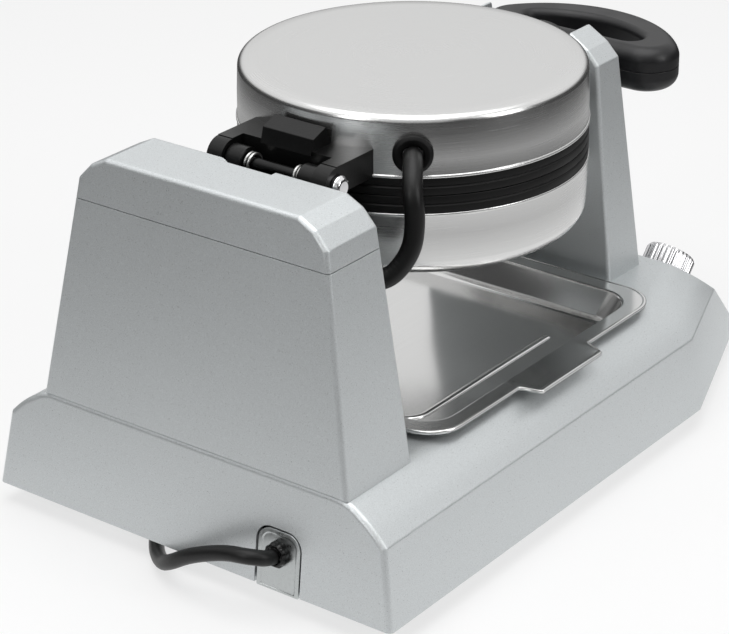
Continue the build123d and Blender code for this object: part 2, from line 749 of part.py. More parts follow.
def base_housing():
    """Painted shell with the tray's well, screw bosses and the openings for what it carries."""
    shell = housing_form()
    shell = fillet(base_corner_edges(shell), BASE_EDGE_RADIUS)
    whole = shell
    shell -= housing_form(WALL)
    well_depth = BASE_TOP - WELL_FLOOR_Z
    pocket = extrude(tray_well_plan(-WALL, WELL_FLOOR_Z - WALL), well_depth + WALL)
    shell += pocket & whole
    for x, y in (REAR_FOOT, FRONT_FOOT):
        post = upright(x, y, FLOOR_TOP_Z, BASE_TOP, SCREW_RADIUS + BOSS_WALL) & whole
        shell += post
        shell += mirror(post, about=Plane.YZ)
    shell -= extrude(tray_well_plan(0, WELL_FLOOR_Z), well_depth + TRAY_RIM_ABOVE)
    hole = SCREW_RADIUS + TOUCH
    for x, y in (REAR_FOOT, FRONT_FOOT):
        bore = upright(x, y, FLOOR_TOP_Z, FLOOR_TOP_Z + SCREW_LENGTH, hole)
        shell -= bore
        shell -= mirror(bore, about=Plane.YZ)
    for x, y in tower_screws_at():
        shell -= upright(x, y, BASE_TOP - 2 * WALL, BASE_TOP + PAST, hole)
    for half, y in wire_holes_at():
        slot = Pos(0, y, BASE_TOP) * SlotOverall(2 * half, WIRE_HOLE)
        shell -= extrude(slot, 2 * WALL, both=True)
    shell -= extrude(REAR_PLANE * cord_arch(CORD_PLATE_GAP), 3 * WALL, both=True)
    return shell - panel_openings()


def base_corner_edges(shell):
    """Edges that run up the base's two rear corners."""
    def climbs(edge):
        way = (edge @ 1) - (edge @ 0)
        return abs(way.Z) > PAST and hypot(way.X, way.Y) < 2 * abs(way.Z)

    rear = shell.edges().filter_by(lambda edge: edge.center().Y > TOWER_FRONT_Y)
    return rear.filter_by(lambda edge: climbs(edge) and abs(edge.center().X) > TOP_HALF - TOP_RADIUS)


def wire_holes_at():
    """Half length and place of the wiring holes under each tower."""
    rear = (TOWER_FRONT_Y + REAR_Y) / 2 - WALL
    front = (YOKE_NEAR_Y + YOKE_FAR_Y) / 2
    return [(TOWER_WIRE_HALF, rear), (YOKE_WIRE_HALF, front)]


def panel_openings():
    """Holes in the front panel for the thermostat, the lamps and the switch."""
    holes = on_plane(PANEL_PLANE, DIAL_X, -PANEL_ROW, -2 * WALL, WALL, BUSHING_RADIUS + TOUCH)
    for x in lamp_places():
        holes += on_plane(PANEL_PLANE, x, -PANEL_ROW, -2 * WALL, WALL, LAMP_RADIUS + TOUCH)
    gap = 2 * TOUCH
    opening = Pos(SWITCH_X, -PANEL_ROW) * Rectangle(
        SWITCH_WIDTH - SWITCH_FRAME + gap, SWITCH_LENGTH - SWITCH_FRAME + gap
    )
    return holes + extrude(PANEL_PLANE * opening, 2 * WALL, both=True)


def lamp_places():
    """The two lamps stand side by side in the middle of the panel."""
    return (-LAMP_SPACING / 2, LAMP_SPACING / 2)


def bottom_plate():
    """Sheet floor of the base, inside its walls, with holes for the foot screws."""
    plate = housing_form(WALL + FIT) & slab(FLOOR_PLATE_Z, FLOOR_TOP_Z)
    for x, y in (REAR_FOOT, FRONT_FOOT):
        for side in (-1, 1):
            hole = upright(side * x, y, FLOOR_PLATE_Z, FLOOR_TOP_Z, SCREW_RADIUS + TOUCH)
            plate -= hole
    return plate


def foot(x, y):
    """Tapered rubber foot with a recess for its screw."""
    profile = [
        (0, 0, 0),
        (FOOT_TOE_RADIUS, 0, FOOT_EDGE_RADIUS),
        (FOOT_RADIUS, FLOOR_PLATE_Z, 0),
        (0, FLOOR_PLATE_Z, 0),
    ]
    recess = FLOOR_PLATE_Z - FOOT_WEB
    body = turned(profile) - upright(0, 0, 0, recess, FOOT_BORE)
    return Pos(x, y, 0) * (body - upright(0, 0, 0, FLOOR_PLATE_Z, SCREW_RADIUS + TOUCH))


def foot_screw(x, y):
    """Screw through a foot and the bottom plate into the housing's boss."""
    head = FLOOR_PLATE_Z - FOOT_WEB - SCREW_HEAD_HEIGHT
    return screw(x, y, head, SCREW_LENGTH)


def cord_plate():
    """Zinc plate in the arch, with a raised ring round the gland and a foot on the floor plate."""
    front = -CORD_PLATE_SINK
    plate = extrude(
        REAR_PLANE * Pos(0, 0, front - CORD_PLATE_THICKNESS) * cord_arch(0),
        CORD_PLATE_THICKNESS,
        dir=REAR_PLANE.z_dir,
    )
    plate &= slab(FLOOR_TOP_Z, REACH)
    rim = GLAND_RADIUS + CORD_RING_WIDTH
    plate += on_plane(REAR_PLANE, 0, GLAND_ABOVE_EDGE, front, front + CORD_RING_RISE, rim)
    depth = REAR_Y - LEAN * (FLOOR_TOP_Z - BASE_BOTTOM) - CORD_PLATE_SINK - SHEET
    tab = block(
        (CORD_X - CORD_PLATE_HALF + CORD_TAB_INSET, depth - CORD_PLATE_TAB, FLOOR_TOP_Z),
        (CORD_X + CORD_PLATE_HALF - CORD_TAB_INSET, depth, FLOOR_TOP_Z + CORD_PLATE_THICKNESS),
    )
    hole = on_plane(REAR_PLANE, 0, GLAND_ABOVE_EDGE, -WALL, WALL, GLAND_NECK_RADIUS + TOUCH)
    return plate + tab - hole


def cord_gland():
    """Two-part clamp bush: a lobed nose outside the plate and a flange behind it."""
    nose = Circle(GLAND_RADIUS - GLAND_LOBE)
    bulge = Pos(GLAND_RADIUS - GLAND_LOBE_RADIUS, 0) * Circle(GLAND_LOBE_RADIUS)
    for lobe in range(GLAND_LOBES):
        nose += Rot(0, 0, lobe * 360 / GLAND_LOBES) * bulge
    plate_face = CORD_RING_RISE - CORD_PLATE_SINK
    place = REAR_PLANE * Pos(0, GLAND_ABOVE_EDGE, plate_face)
    gland = extrude(place * nose, GLAND_REACH - plate_face, dir=REAR_PLANE.z_dir)
    back = -CORD_PLATE_SINK - CORD_PLATE_THICKNESS
    gland += on_plane(REAR_PLANE, 0, GLAND_ABOVE_EDGE, back, plate_face, GLAND_NECK_RADIUS)
    gland += on_plane(REAR_PLANE, 0, GLAND_ABOVE_EDGE, -GLAND_BACK, back, GLAND_RADIUS)
    return gland


def cover_profile(depth, edge_radius, sheet=0.0):
    """Outside of a cover from its middle to its rim, as corners for a turned solid."""
    top = RING_HEIGHT + depth - sheet
    wall_top = COVER_RADIUS - COVER_DRAFT - sheet
    return [
        (0, top, 0),
        (wall_top, top, edge_radius - sheet),
        (COVER_RADIUS - sheet, RING_HEIGHT + RIM_HEIGHT, 0),
    ]


def head_envelope():
    """The closed head as one solid, for cutting what is fastened to its outside."""
    upper = cover_profile(UPPER_DEPTH, UPPER_EDGE_RADIUS)
    lower = cover_profile(LOWER_DEPTH, LOWER_EDGE_RADIUS)
    rim = [(RIM_RADIUS, RING_HEIGHT + RIM_HEIGHT, 0), (RIM_RADIUS, RING_HEIGHT, 0)]
    band = [(RING_RADIUS, RING_HEIGHT, 0), (RING_RADIUS, 0, 0), (0, 0, 0)]
    whole = in_head(turned(upper + rim + band), True)
    return whole + in_head(turned(lower + rim + band), False)


def cover(depth, edge_radius, upper):
    """Deep-drawn cover with a rolled rim, open towards the parting plane."""
    outside = cover_profile(depth, edge_radius)
    rim = [(RIM_RADIUS, RING_HEIGHT + RIM_HEIGHT, 0), (RIM_RADIUS, RING_HEIGHT, 0)]
    inner = cover_profile(depth, edge_radius, SHEET)
    inner[-1] = (COVER_RADIUS - SHEET, RING_HEIGHT, 0)
    return in_head(turned(outside + rim + inner[::-1]), upper)


def ring(upper):
    """Heat-proof ring between cover and grid, with a ledge inside and a groove outside."""
    low = PARTING_GAP / 2
    middle = (low + RING_HEIGHT) / 2
    groove = RING_RADIUS - RING_GROOVE
    ledge = low + GRID_FLANGE + RING_GROOVE
    profile = [
        (RING_RADIUS, low, 0),
        (RING_RADIUS, middle - RING_GROOVE, 0),
        (groove, middle, 0),
        (RING_RADIUS, middle + RING_GROOVE, 0),
        (RING_RADIUS, RING_HEIGHT, 0),
        (RING_LEDGE_RADIUS, RING_HEIGHT, 0),
        (RING_LEDGE_RADIUS, ledge, 0),
        (GRID_FLANGE_RADIUS + FIT / 2, ledge, 0),
        (GRID_FLANGE_RADIUS + FIT / 2, low, 0),
    ]
    return in_head(turned(profile), upper)


def taper_block(base, tip, length, height):
    """Block that narrows upwards from base to tip, or a ridge where it is long."""
    ends = length - (base - tip)
    foot = Pos(0, 0, CELL_DEPTH) * Rectangle(base, length)
    crown = Pos(0, 0, CELL_DEPTH - height) * Rectangle(tip, ends)
    return loft([foot, crown], ruled=True)


def grid(upper):
    """Cast waffle grid: a flanged dish with square pegs in four quarters split by ridges."""
    low = PARTING_GAP / 2 + RING_GROOVE
    flange = low + GRID_FLANGE
    under = CELL_DEPTH + GRID_FLOOR
    profile = [
        (0, CELL_DEPTH, 0),
        (GRID_WALL_RADIUS, CELL_DEPTH, 0),
        (GRID_MOUTH_RADIUS, low, 0),
        (GRID_FLANGE_RADIUS, low, 0),
        (GRID_FLANGE_RADIUS, flange, 0),
        (GRID_MOUTH_RADIUS + GRID_FLOOR, flange, 0),
        (GRID_WALL_RADIUS + GRID_FLOOR, under, 0),
        (0, under, 0),
    ]
    peg = taper_block(PEG_BASE, PEG_TIP, PEG_BASE, PEG_HEIGHT)
    count = int(GRID_WALL_RADIUS / PEG_PITCH) + 1
    steps = [PEG_PITCH * (place + 0.5) for place in range(-count, count)]
    reach = GRID_WALL_RADIUS - PEG_EDGE_GAP
    pegs = [
        Pos(x, y, 0) * peg
        for x in steps
        for y in steps
        if hypot(abs(x) + PEG_BASE / 2, abs(y) + PEG_BASE / 2) < reach
    ]
    ridge = taper_block(RIDGE_BASE, RIDGE_TIP, 2 * GRID_WALL_RADIUS, RIDGE_HEIGHT)
    plate = turned(profile) + [ridge, Rot(0, 0, 90) * ridge] + pegs
    return in_head(plate, upper)


def stud_places():
    """Where the element's two terminals stand, on the side away from the handle."""
    return [(side * STUD_SPREAD / 2, HEATER_RADIUS) for side in (-1, 1)]


def heater(upper):
    """Flat ring element against the back of the grid, with two terminal studs."""
    low = CELL_DEPTH + GRID_FLOOR
    high = low + HEATER_HEIGHT
    body = upright(0, 0, low, high, HEATER_RADIUS + HEATER_WIDTH / 2)
    body -= upright(0, 0, low, high, HEATER_RADIUS - HEATER_WIDTH / 2)
    for x, y in stud_places():
        body += upright(x, y, high, high + STUD_LENGTH, STUD_RADIUS)
    return in_head(body, upper)


def heat_board(upper):
    """Insulating board on the element, which keeps its heat off the cover."""
    low = CELL_DEPTH + GRID_FLOOR + HEATER_HEIGHT
    board = upright(0, 0, low, low + BOARD_THICKNESS, BOARD_RADIUS)
    for x, y in stud_places():
        board -= upright(x, y, low, low + BOARD_THICKNESS, STUD_RADIUS + FIT)
    return in_head(board, upper)


def hub(upper):
    """Half of the front hub, from the head's rim through the yoke to the handle."""
    near = HEAD_Y - RIM_RADIUS + HUB_RADIUS
    far = YOKE_FAR_Y + HUB_END
    body = along_y(0, AXIS_Z, far, near, HUB_RADIUS) - HEAD
    body = body.solids().sort_by(Axis.Y)[0]
    bar = extrude(
        Plane(origin=(0, far, AXIS_Z), x_dir=(1, 0, 0), z_dir=(0, -1, 0))
        * RectangleRounded(2 * NECK_HALF, NECK_HEIGHT, NECK_CORNER),
        far - HANDLE_NEAR_Y,
        dir=(0, -1, 0),
    )
    return (body + bar) & half_space(upper)


def half_space(upper):
    """Everything on one side of the parting plane, past half of its gap."""
    gap = PARTING_GAP / 2
    return slab(AXIS_Z + gap, REACH) if upper else slab(-REACH, AXIS_Z - gap)


def bow(radius, tip, near, corner):
    """Outline between a straight edge and a bow of a given radius that reaches to a tip."""
    shape = Pos(0, tip + radius) * Circle(radius)
    shape &= Pos(0, near - REACH / 2) * Rectangle(2 * REACH, REACH)
    return fillet(shape.vertices().group_by(Axis.Y)[-1], corner)


def handle(upper):
    """Half of the handle's loop, rounded on its outer edges and round the finger hole."""
    grip = bow(HANDLE_BOW, HANDLE_TIP_Y, HANDLE_NEAR_Y, HANDLE_CORNER)
    hole_tip = HANDLE_TIP_Y + HANDLE_BAR
    hole_near = HANDLE_NEAR_Y - HANDLE_NEAR_BAR
    hole = bow(HANDLE_HOLE_BOW, hole_tip, hole_near, HANDLE_HOLE_CORNER)
    body = extrude(grip - hole, HANDLE_HALF_HEIGHT)
    top = body.faces().sort_by(Axis.Z)[-1]
    body = fillet(top.outer_wire().edges(), HANDLE_EDGE_RADIUS)
    top = body.faces().sort_by(Axis.Z)[-1]
    body = fillet(top.inner_wires()[0].edges(), HANDLE_HOLE_EDGE_RADIUS)
    body = body if upper else mirror(body, about=Plane.XY)
    return (Pos(0, 0, AXIS_Z) * body) & half_space(upper)


def lid_hinge_casting():
    """Casting on the lid: a plate with two arms to the pin, and a wedge-shaped stop on top."""
    low = HINGE_Z - HINGE_PLATE_BELOW_PIN
    high = low + HINGE_PLATE_THICKNESS
    front = HEAD_Y
    plate = block((-ARM_OUTER, front, low), (ARM_OUTER, HINGE_Y, high))
    plate -= block((-ARM_INNER, HINGE_Y - HINGE_RECESS, low), (ARM_INNER, HINGE_Y + PAST, high))
    for side in (-1, 1):
        ends = sorted((side * ARM_INNER, side * ARM_OUTER))
        plate += along_x(HINGE_Y, HINGE_Z, *ends, ARM_END_RADIUS)
    wedge = [
        (HINGE_Y - WEDGE_FAR_FOOT, high - WEDGE_SINK, 0),
        (HINGE_Y - HINGE_RECESS + WEDGE_FOOT, high - WEDGE_SINK, 0),
        (HINGE_Y - HINGE_RECESS - WEDGE_LEAN, high + WEDGE_NEAR_HEIGHT, WEDGE_EDGE_RADIUS),
        (HINGE_Y - WEDGE_FAR_TOP, high + WEDGE_FAR_HEIGHT, WEDGE_EDGE_RADIUS),
    ]
    plate += prism_yz(wedge, -WEDGE_HALF, WEDGE_HALF)
    plate -= along_x(HINGE_Y, HINGE_Z, -REACH, REACH, PIN_RADIUS + RUNNING)
    plate -= HEAD
    return plate.solids().sort_by(Axis.Y)[-1]


def head_bracket():
    """Bracket under the hinge: a beam from the lower cover, a web with the shaft's boss, lugs."""
    back = HINGE_Y + BRACKET_REACH
    low = AXIS_Z - BRACKET_BOTTOM
    beam_top = AXIS_Z - RING_HEIGHT - BEAM_BELOW_RINGS
    bracket = block((-BRACKET_HALF, HEAD_Y, low), (BRACKET_HALF, back, beam_top))
    web_top = AXIS_Z + BRACKET_TOP
    bracket += block(
        (-BRACKET_HALF, back - WEB_THICKNESS, low), (BRACKET_HALF, back, web_top)
    )
    bracket += along_y(0, AXIS_Z, back - WEB_THICKNESS, back, BOSS_RADIUS)
    for side in (-1, 1):
        left, right = sorted((side * KNUCKLE_INNER, side * KNUCKLE_OUTER))
        lug = [
            (HINGE_Y - KNUCKLE_RADIUS, low, 0),
            (back, low, 0),
            (back, web_top, 0),
            (HINGE_Y + KNUCKLE_RADIUS, HINGE_Z, 0),
            (HINGE_Y - KNUCKLE_RADIUS, HINGE_Z, 0),
        ]
        bracket += prism_yz(lug, left, right)
        bracket += along_x(HINGE_Y, HINGE_Z, left, right, KNUCKLE_RADIUS)
    bracket -= along_x(HINGE_Y, HINGE_Z, -REACH, REACH, PIN_RADIUS + RUNNING)
    bracket -= along_y(0, AXIS_Z, HINGE_Y, REACH, SHAFT_BORE)
    bracket -= HEAD
    return bracket.solids().sort_by(Axis.Y)[-1]


def turning_shaft():
    """Hollow shaft from the bracket's boss through the rear bearing."""
    start = HINGE_Y + BRACKET_REACH
    end = TOWER_FRONT_Y + BUSH_LENGTH + COLLAR_LENGTH + SHAFT_END
    shaft = along_y(0, AXIS_Z, start, end, SHAFT_RADIUS)
    return shaft - along_y(0, AXIS_Z, start - PAST, end + PAST, SHAFT_BORE)


def shaft_collar():
    """Clamp collar that keeps the shaft in its bearing, behind the tower's front wall."""
    start = TOWER_FRONT_Y + BUSH_LENGTH + FIT
    end = start + COLLAR_LENGTH
    collar = along_y(0, AXIS_Z, start, end, SHAFT_RADIUS + COLLAR_WALL)
    return collar - along_y(0, AXIS_Z, start - PAST, end + PAST, SHAFT_RADIUS + RUNNING)


def hinge_pin():
    """Pin through the lid's arms and the head's lugs."""
    end = ARM_OUTER + PIN_OVERHANG
    return along_x(HINGE_Y, HINGE_Z, -end, end, PIN_RADIUS)


def pin_caps():
    """Domed chrome push-on caps on both ends of the pin."""
    face = ARM_OUTER + FIT
    profile = [
        (0, 0, 0),
        (PIN_CAP_RADIUS, 0, 0),
        (PIN_CAP_RADIUS, PIN_CAP_DEPTH, PIN_CAP_EDGE_RADIUS),
        (0, PIN_CAP_DEPTH, 0),
    ]
    cap = turned(profile) - upright(0, 0, -PAST, PIN_OVERHANG - FIT, PIN_RADIUS)
    return pair(Pos(face, HINGE_Y, HINGE_Z) * Rot(0, 90, 0) * cap)


def arcs_between(start, start_way, end, end_way):
    """Two tangent arcs that leave one point and reach another in the given directions."""
    span = end - start
    ways = start_way + end_way
    bend = 2 * (1 - start_way.dot(end_way))
    along = span.dot(ways)
    if bend < 1e-9:
        reach = span.dot(span) / (2 * along)
    else:
        reach = (sqrt(along * along + bend * span.dot(span)) - along) / bend
    first = start + start_way * reach
    second = end - end_way * reach
    middle = (first + second) * 0.5
    arcs = [TangentArc(start, middle, tangent=start_way)]
    arcs.append(TangentArc(middle, end, tangent=(second - first).normalized()))
    return arcs


def wound(point, turns, steps_a_turn):
    """Path of tangent arcs along a wound curve, given as a point for each count of turns."""
    steps = round(turns * steps_a_turn)
    places = [turns * step / steps for step in range(steps + 1)]
    step = 1e-4
    points = [point(place) for place in places]
    ways = [(point(place + step) - point(place - step)).normalized() for place in places]
    path = []
    for place in range(steps):
        path += arcs_between(points[place], ways[place], points[place + 1], ways[place + 1])
    return Wire([edge for arc in path for edge in arc.edges()])


def tube(path, radius):
    """Round solid along a path."""
    section = Plane(origin=path @ 0, z_dir=path % 0) * Circle(radius)
    return sweep(section, path=path)


def least_gap(point, turns, diameter):
    """Least gap between a wound tube and itself half a turn or more away, measured on points."""
    steps = 72
    count = int(turns * steps) + 1
    points = [point(place / steps) for place in range(count)]
    gaps = [
        (points[a] - points[b]).length - diameter
        for a in range(count)
        for b in range(a + steps // 2, count)
    ]
    return min(gaps)


def spring_point(side):
    """Middle line of a hinge spring that is wound round the pin."""
    start = KNUCKLE_INNER - FIT - SPRING_WIRE / 2
    def point(turn):
        angle = 2 * pi * turn
        return Vector(
            side * (start - SPRING_PITCH * turn),
            HINGE_Y + SPRING_RADIUS * cos(angle),
            HINGE_Z + SPRING_RADIUS * sin(angle),
        )
    return point


def hinge_springs():
    """Two springs round the pin, beside the head's lugs."""
    springs = [
        tube(wound(spring_point(side), SPRING_TURNS, 4), SPRING_WIRE / 2).solid()
        for side in (-1, 1)
    ]
    return Compound(springs)


def coil_point(turn):
    """Middle line of the lead's coil: in along the floor, up a layer, and out again on top."""
    reverse = COIL_TURNS / 2
    angle = pi / 2 - 2 * pi * turn
    radius = COIL_OUTER - COIL_PITCH * (reverse - abs(turn - reverse))
    climb = min(max((turn - reverse) * 2 + 0.5, 0), 1)
    height = COIL_FLOOR + COIL_PITCH * (1 - cos(pi * climb)) / 2
    return Vector(
        COIL_CENTRE[0] + radius * cos(angle), COIL_CENTRE[1] + radius * sin(angle), height
    )


def rounded_path(points, smallest):
    """Straight runs through hand-set points, joined by the largest arcs that the runs allow."""
    places = [Vector(*point) for point in points]
    radii = []
    for place in range(1, len(places) - 1):
        before = places[place] - places[place - 1]
        after = places[place + 1] - places[place]
        turn = radians(before.get_angle(after))
        radii.append(ARC_SHARE * min(before.length, after.length) / tan(turn / 2))
    print("  arc radii", [round(radius) for radius in radii], "least wanted", smallest)
    return FilletPolyline(*places, radius=radii)


def mains_cord():
    """Free lead from the gland to its coil."""
    path = rounded_path(CORD_ROUTE, BENDS_WANTED * CORD_DIAMETER)
    return tube(path, CORD_DIAMETER / 2)


def mains_coil():
    """Put-away part of the lead, in two layers, and its tail that rises to the plug."""
    gap = least_gap(coil_point, COIL_TURNS, CORD_DIAMETER)
    print("  coil, least gap to itself", round(gap, 2))
    turns = wound(coil_point, COIL_TURNS, 4).edges()
    start = coil_point(COIL_TURNS)
    end = Vector(start.X, start.Y - PLUG_TAIL, PLUG_RADIUS)
    way = Vector(0, -1, 0)
    tail = [edge for arc in arcs_between(start, way, end, way) for edge in arc.edges()]
    return tube(Wire(list(turns) + tail), CORD_DIAMETER / 2)


def plug_plane():
    """Plane at the back of the plug's strain relief, looking out along the plug."""
    start = coil_point(COIL_TURNS)
    return Plane(
        origin=(start.X, start.Y - PLUG_TAIL, PLUG_RADIUS), x_dir=(1, 0, 0), z_dir=(0, -1, 0)
    )


def plug_body():
    """Moulded two-pin earthed plug: ribbed neck, tapered grip and round face."""
    step = PLUG_BODY_LENGTH - PLUG_FACE_DEPTH
    profile = [
        (0, 0, 0),
        (PLUG_NECK_RADIUS, 0, 0),
        (PLUG_NECK_RADIUS + PLUG_NECK_FLARE, step - PLUG_SHOULDER, 0),
        (PLUG_RADIUS - PLUG_STEP, step, 0),
        (PLUG_RADIUS, step + PLUG_STEP_LENGTH, 0),
        (PLUG_RADIUS, PLUG_BODY_LENGTH, PLUG_EDGE_RADIUS),
        (0, PLUG_BODY_LENGTH, 0),
    ]
    return plug_plane() * turned(profile)


def plug_pins():
    """The plug's two round pins."""
    pins = [
        plug_plane()
        * Pos(side * PLUG_PIN_SPACING / 2, 0, PLUG_BODY_LENGTH + PLUG_PIN_LENGTH / 2)
        * Cylinder(PLUG_PIN_RADIUS, PLUG_PIN_LENGTH)
        for side in (-1, 1)
    ]
    return Compound([pin.solid() for pin in pins])


def jumper_exit():
    """Where the jumper leaves its grommet on the lid, and in which direction."""
    angle = radians(JUMPER_ANGLE)
    way = Vector(-sin(angle), cos(angle), 0)
    foot = Vector(0, HEAD_Y, AXIS_Z + JUMPER_ABOVE_AXIS) + way * COVER_RADIUS
    return foot, way


def jumper_grommet():
    """Rubber grommet in the upper cover's wall."""
    foot, way = jumper_exit()
    ends = (-JUMPER_GROMMET_ROOT, JUMPER_GROMMET_REACH)
    body = on_plane(Plane(origin=foot, z_dir=way), 0, 0, *ends, JUMPER_GROMMET_RADIUS)
    body -= HEAD
    return body.solids().sort_by(Axis.Y)[-1]


def jumper_gland():
    """Gland on the side of the head's bracket, where the jumper goes in."""
    z = AXIS_Z - JUMPER_GLAND_BELOW
    ends = (-BRACKET_HALF - JUMPER_GLAND_REACH, -BRACKET_HALF)
    return along_x(JUMPER_GLAND_Y, z, *ends, JUMPER_GLAND_RADIUS)


def jumper_cord():
    """Lead in a loop from the lid's grommet down to the bracket, long enough for the lid to open."""
    foot, way = jumper_exit()
    start = foot + way * JUMPER_GROMMET_REACH
    gland = -BRACKET_HALF - JUMPER_GLAND_REACH
    end = Vector(gland, JUMPER_GLAND_Y, AXIS_Z - JUMPER_GLAND_BELOW)
    points = [start, start + way * JUMPER_STRAIGHT] + [Vector(*point) for point in JUMPER_ROUTE]
    points += [end - Vector(JUMPER_LEAD_IN, 0, 0), end]
    path = rounded_path([tuple(point) for point in points], JUMPER_BENDS_WANTED * JUMPER_DIAMETER)
    return tube(path, JUMPER_DIAMETER / 2)


def dial_plane():
    """Plane of the dial on the front panel."""
    return PANEL_PLANE * Pos(DIAL_X, -PANEL_ROW, 0)


def dial_plate():
    """Thin round plate on the panel behind the knob."""
    plate = Pos(0, 0, PLATE_THICKNESS / 2) * Cylinder(DIAL_PLATE_RADIUS, PLATE_THICKNESS)
    plate -= Cylinder(BUSHING_RADIUS + TOUCH, 4 * PLATE_THICKNESS)
    return dial_plane() * plate


def control_knob():
    """Straight-knurled knob with a recess over the thermostat's bushing."""
    low = PLATE_THICKNESS + FIT
    points = []
    for tooth in range(2 * KNOB_TEETH):
        angle = pi * tooth / KNOB_TEETH
        radius = KNOB_RADIUS - KNOB_TOOTH * (tooth % 2)
        points.append((radius * cos(angle), radius * sin(angle), 0))
    knob = extrude(Pos(0, 0, low) * outline(points), KNOB_HEIGHT - KNOB_CROWN)
    crown = (KNOB_RADIUS - KNOB_TOOTH, KNOB_RADIUS - KNOB_CROWN_INSET, KNOB_CROWN)
    knob += Pos(0, 0, low + KNOB_HEIGHT - KNOB_CROWN) * Cone(*crown, align=BOTTOM)
    knob -= Pos(0, 0, low) * Cylinder(BUSHING_RADIUS + BUSHING_GAP, KNOB_RECESS, align=BOTTOM)
    return dial_plane() * (knob - Cylinder(DIAL_SHAFT_RADIUS, 2 * DIAL_SHAFT_REACH))


def dial_shaft():
    """Shaft from the thermostat into the knob."""
    low = -WALL - THERMOSTAT_DEPTH / 2
    shaft = Cylinder(DIAL_SHAFT_RADIUS, DIAL_SHAFT_REACH - low, align=BOTTOM)
    return dial_plane() * Pos(0, 0, low) * shaft


def thermostat():
    """Thermostat body behind the panel, with its threaded bushing through the panel."""
    low = -WALL - THERMOSTAT_DEPTH
    body = Pos(0, 0, low) * Cylinder(THERMOSTAT_RADIUS, THERMOSTAT_DEPTH, align=BOTTOM)
    bushing = WALL + KNOB_RECESS - BUSHING_GAP
    body += Pos(0, 0, -WALL) * Cylinder(BUSHING_RADIUS, bushing, align=BOTTOM)
    end = -WALL - THERMOSTAT_DEPTH / 2 - PAST
    bore = Cylinder(DIAL_SHAFT_RADIUS + RUNNING, THERMOSTAT_DEPTH + KNOB_HEIGHT, align=BOTTOM)
    body -= Pos(0, 0, end) * bore
    return dial_plane() * body


def lamp(x):
    """Pilot lamp: a lens with a domed top and a body behind the panel."""
    profile = [
        (0, -LAMP_BODY, 0),
        (LAMP_RADIUS, -LAMP_BODY, 0),
        (LAMP_RADIUS, LAMP_RIM, 0),
        (LAMP_CROWN_RADIUS, LAMP_CROWN, 0),
        (0, LAMP_TOP, 0),
    ]
    return PANEL_PLANE * Pos(x, -PANEL_ROW, 0) * turned(profile)


def lamp_bezels():
    """Ring round each lamp."""
    rings = []
    for x in lamp_places():
        ring_solid = Cylinder(LAMP_BEZEL_RADIUS, PLATE_THICKNESS, align=BOTTOM)
        ring_solid -= Cylinder(LAMP_RADIUS + TOUCH, 3 * PLATE_THICKNESS)
        rings.append((PANEL_PLANE * Pos(x, -PANEL_ROW, 0) * ring_solid).solid())
    return Compound(rings)


def switch_plane():
    """Plane of the mains switch on the front panel."""
    return PANEL_PLANE * Pos(SWITCH_X, -PANEL_ROW, 0)


def switch_frame():
    """Snap-in frame of the mains switch, open at the front for the rocker."""
    body = Pos(0, 0, -SWITCH_DEPTH) * Box(
        SWITCH_WIDTH - SWITCH_FRAME,
        SWITCH_LENGTH - SWITCH_FRAME,
        SWITCH_DEPTH,
        align=BOTTOM,
    )
    body += Box(SWITCH_WIDTH, SWITCH_LENGTH, SWITCH_RIM, align=BOTTOM)
    room = Pos(0, 0, ROCKER_PIVOT) * Rot(0, 90, 0) * Cylinder(
        ROCKER_RADIUS + FIT, ROCKER_WIDTH + 2 * FIT
    )
    return switch_plane() * (body - room)


def rocker():
    """Rocker: a slice of a cylinder about its pivot, with a shallow V on top."""
    disc = Rot(0, 90, 0) * Cylinder(ROCKER_RADIUS, ROCKER_WIDTH)
    top = SWITCH_RIM - ROCKER_PIVOT + ROCKER_RISE
    cut = [
        (-REACH, top + ROCKER_RADIUS, 0),
        (-ROCKER_RADIUS, top, 0),
        (0, top - ROCKER_RISE, 0),
        (ROCKER_RADIUS, top, 0),
        (REACH, top + ROCKER_RADIUS, 0),
    ]
    body = disc - prism_yz(cut, -ROCKER_WIDTH, ROCKER_WIDTH)
    return switch_plane() * Pos(0, 0, ROCKER_PIVOT) * Rot(ROCKER_TILT, 0, 0) * body


def terminal_block():
    """Block on the floor plate where the lead's wires end."""
    x = CORD_X + TERMINAL_FROM_CORD
    y = REAR_Y - TERMINAL_FROM_REAR
    top = FLOOR_TOP_Z + TERMINAL_SIZE[2]
    body = Pos(x, y, FLOOR_TOP_Z) * Box(*TERMINAL_SIZE, align=BOTTOM)
    for place in (-TERMINAL_PITCH, 0, TERMINAL_PITCH):
        body -= upright(x + place, y, top - TERMINAL_WELL_DEPTH, top + PAST, TERMINAL_WELL_RADIUS)
    return body


def thermal_cutout():
    """Resettable thermal cut-out on the floor plate."""
    y = REAR_Y - CUTOUT_FROM_REAR
    top = FLOOR_TOP_Z + CUTOUT_SIZE[2]
    body = Pos(CUTOUT_X, y, FLOOR_TOP_Z) * Box(*CUTOUT_SIZE, align=BOTTOM)
    return body + upright(CUTOUT_X, y, top, top + CUTOUT_CAP_HEIGHT, CUTOUT_CAP_RADIUS)


def buzzer():
    """Sounder that tells when a waffle is ready, on the floor plate behind the panel."""
    y = PANEL_TOP_Y + BUZZER_FROM_PANEL
    top = FLOOR_TOP_Z + BUZZER_HEIGHT
    body = upright(0, y, FLOOR_TOP_Z, top, BUZZER_RADIUS)
    return body - upright(0, y, top - BUZZER_PORT_DEPTH, top + PAST, BUZZER_PORT_RADIUS)


HEAD = head_envelope()

